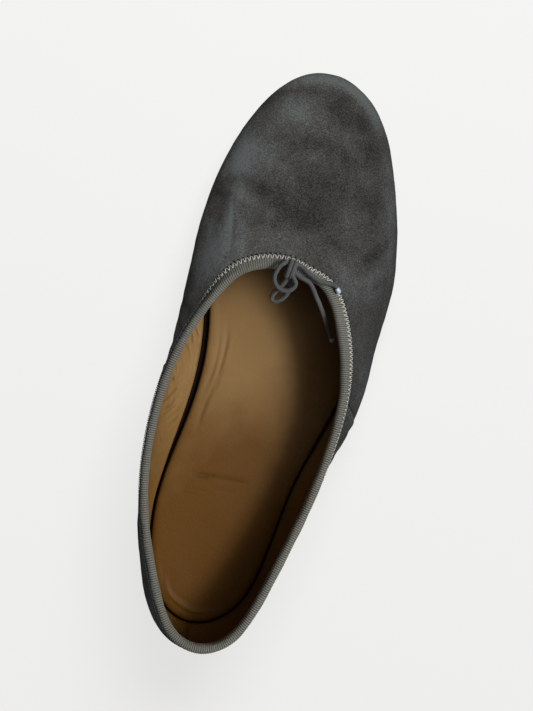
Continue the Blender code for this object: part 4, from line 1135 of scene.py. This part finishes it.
finish = Finish("heel_stack", 0.55, Specular_IOR_Level=0.35)
LAYER, TOP_PIECE = 0.0018, 0.0020                               # thickness of a layer, and of the rubber below
height = finish.node("SeparateXYZ", {}, {0: finish.place}, out=2)
layer = (height * (2 * math.pi / LAYER)).sine()
speck = finish.noise(0.0010, 3.0, 0.6)
stack = height.between(TOP_PIECE - 0.0001, TOP_PIECE + 0.0001)
colour = finish.mix(stack, (0.022, 0.021, 0.020), (0.050, 0.036, 0.026))
colour = finish.mix((layer.between(0.75, 1.0) * stack) * 0.6, colour, (0.014, 0.011, 0.009))
finish.done(heel, Base_Color=colour, Roughness=(speck - 0.5) * 0.3 + 0.55, Normal=finish.bump(speck, 0.00012))

# %% [markdown]
# ## Floor and light
#
# The shoe stands on a plain pale floor in soft daylight from its outer side. One light for all would be the plain
# way, but smooth leather in a hollow and matt suede on a wall take light so differently that six soft ones share
# the work. A key and a wide glow from the outer side, so that the outer wall shades the insole, and a weak ceiling
# light reach everything but the suede. An overhead light gives suede and heel their even look, a fill from the
# other side is for the suede alone, and the last one lights the floor. Light linking says which pieces each of them
# reaches. The floor also glows a little for the eye, and that glow lights nothing.

# %% Floor
FLOOR_HALF = 3.0
floor_mesh = bpy.data.meshes.new("floor")
floor_mesh.from_pydata([(x * FLOOR_HALF, y * FLOOR_HALF, 0.0) for x, y in ((-1, -1), (1, -1), (1, 1), (-1, 1))],
                       [], [(0, 1, 2, 3)])
floor = bpy.data.objects.new("floor", floor_mesh)
bpy.context.scene.collection.objects.link(floor)
floor.visible_diffuse = floor.visible_glossy = False
finish = Finish("pale_floor", 0.9, Specular_IOR_Level=0.1, Emission_Strength=0.745,
                Emission_Color=(1.0, 1.0, 0.985, 1.0))
cloud = finish.noise(0.4, 1.0, 0.4)
finish.done(floor, Base_Color=finish.mix(cloud, (0.066, 0.066, 0.065), (0.074, 0.074, 0.073)))


# %% Lights
def soft_light(name, place, size, power, colour, reaches):
    """A rectangular area light at a place, facing the shoe, that reaches the pieces named and no others."""
    light = bpy.data.lights.new(name, "AREA")
    light.shape = "RECTANGLE"
    (light.size, light.size_y), light.energy, light.color = size, power, colour
    made = bpy.data.objects.new(name, light)
    bpy.context.scene.collection.objects.link(made)
    made.location = place
    made.rotation_euler = Vector(place).to_track_quat("Z", "Y").to_euler()
    made.light_linking.receiver_collection = bpy.data.collections.new(name + "_reaches")
    for piece in reaches:
        made.light_linking.receiver_collection.objects.link(piece)


WARM, NEUTRAL, WARMEST = (1.0, 0.985, 0.96), (1.0, 0.99, 0.975), (1.0, 0.95, 0.90)
BUT_SUEDE = [piece for piece in PIECES.values() if piece != suede]
soft_light("side_light", (-0.73, -0.13, 1.32), (0.46, 0.34), 12.6, WARM, BUT_SUEDE)
soft_light("side_glow", (-0.89, -0.16, 1.24), (1.30, 1.10), 14.4, WARM, BUT_SUEDE)
soft_light("ceiling", (-0.05, -0.35, 1.45), (1.20, 1.20), 2.8, WARMEST, BUT_SUEDE)
soft_light("overhead", (-0.26, -0.27, 1.48), (0.90, 0.90), 19.3, NEUTRAL, [suede, heel])
soft_light("left_fill", (0.55, -0.45, 1.30), (0.60, 0.60), 7.0, WARM, [suede])
soft_light("table_light", (-0.06, -0.98, 1.10), (1.00, 0.80), 56.0, NEUTRAL, [floor])

# %% The room's own light
world = bpy.data.worlds.new("pale_room")
bpy.context.scene.world = world
world.use_nodes = True
background = world.node_tree.nodes["Background"].inputs
background["Color"].default_value, background["Strength"].default_value = (0.96, 0.98, 1.0, 1.0), 0.06
bpy.context.scene.view_settings.view_transform = "Standard"
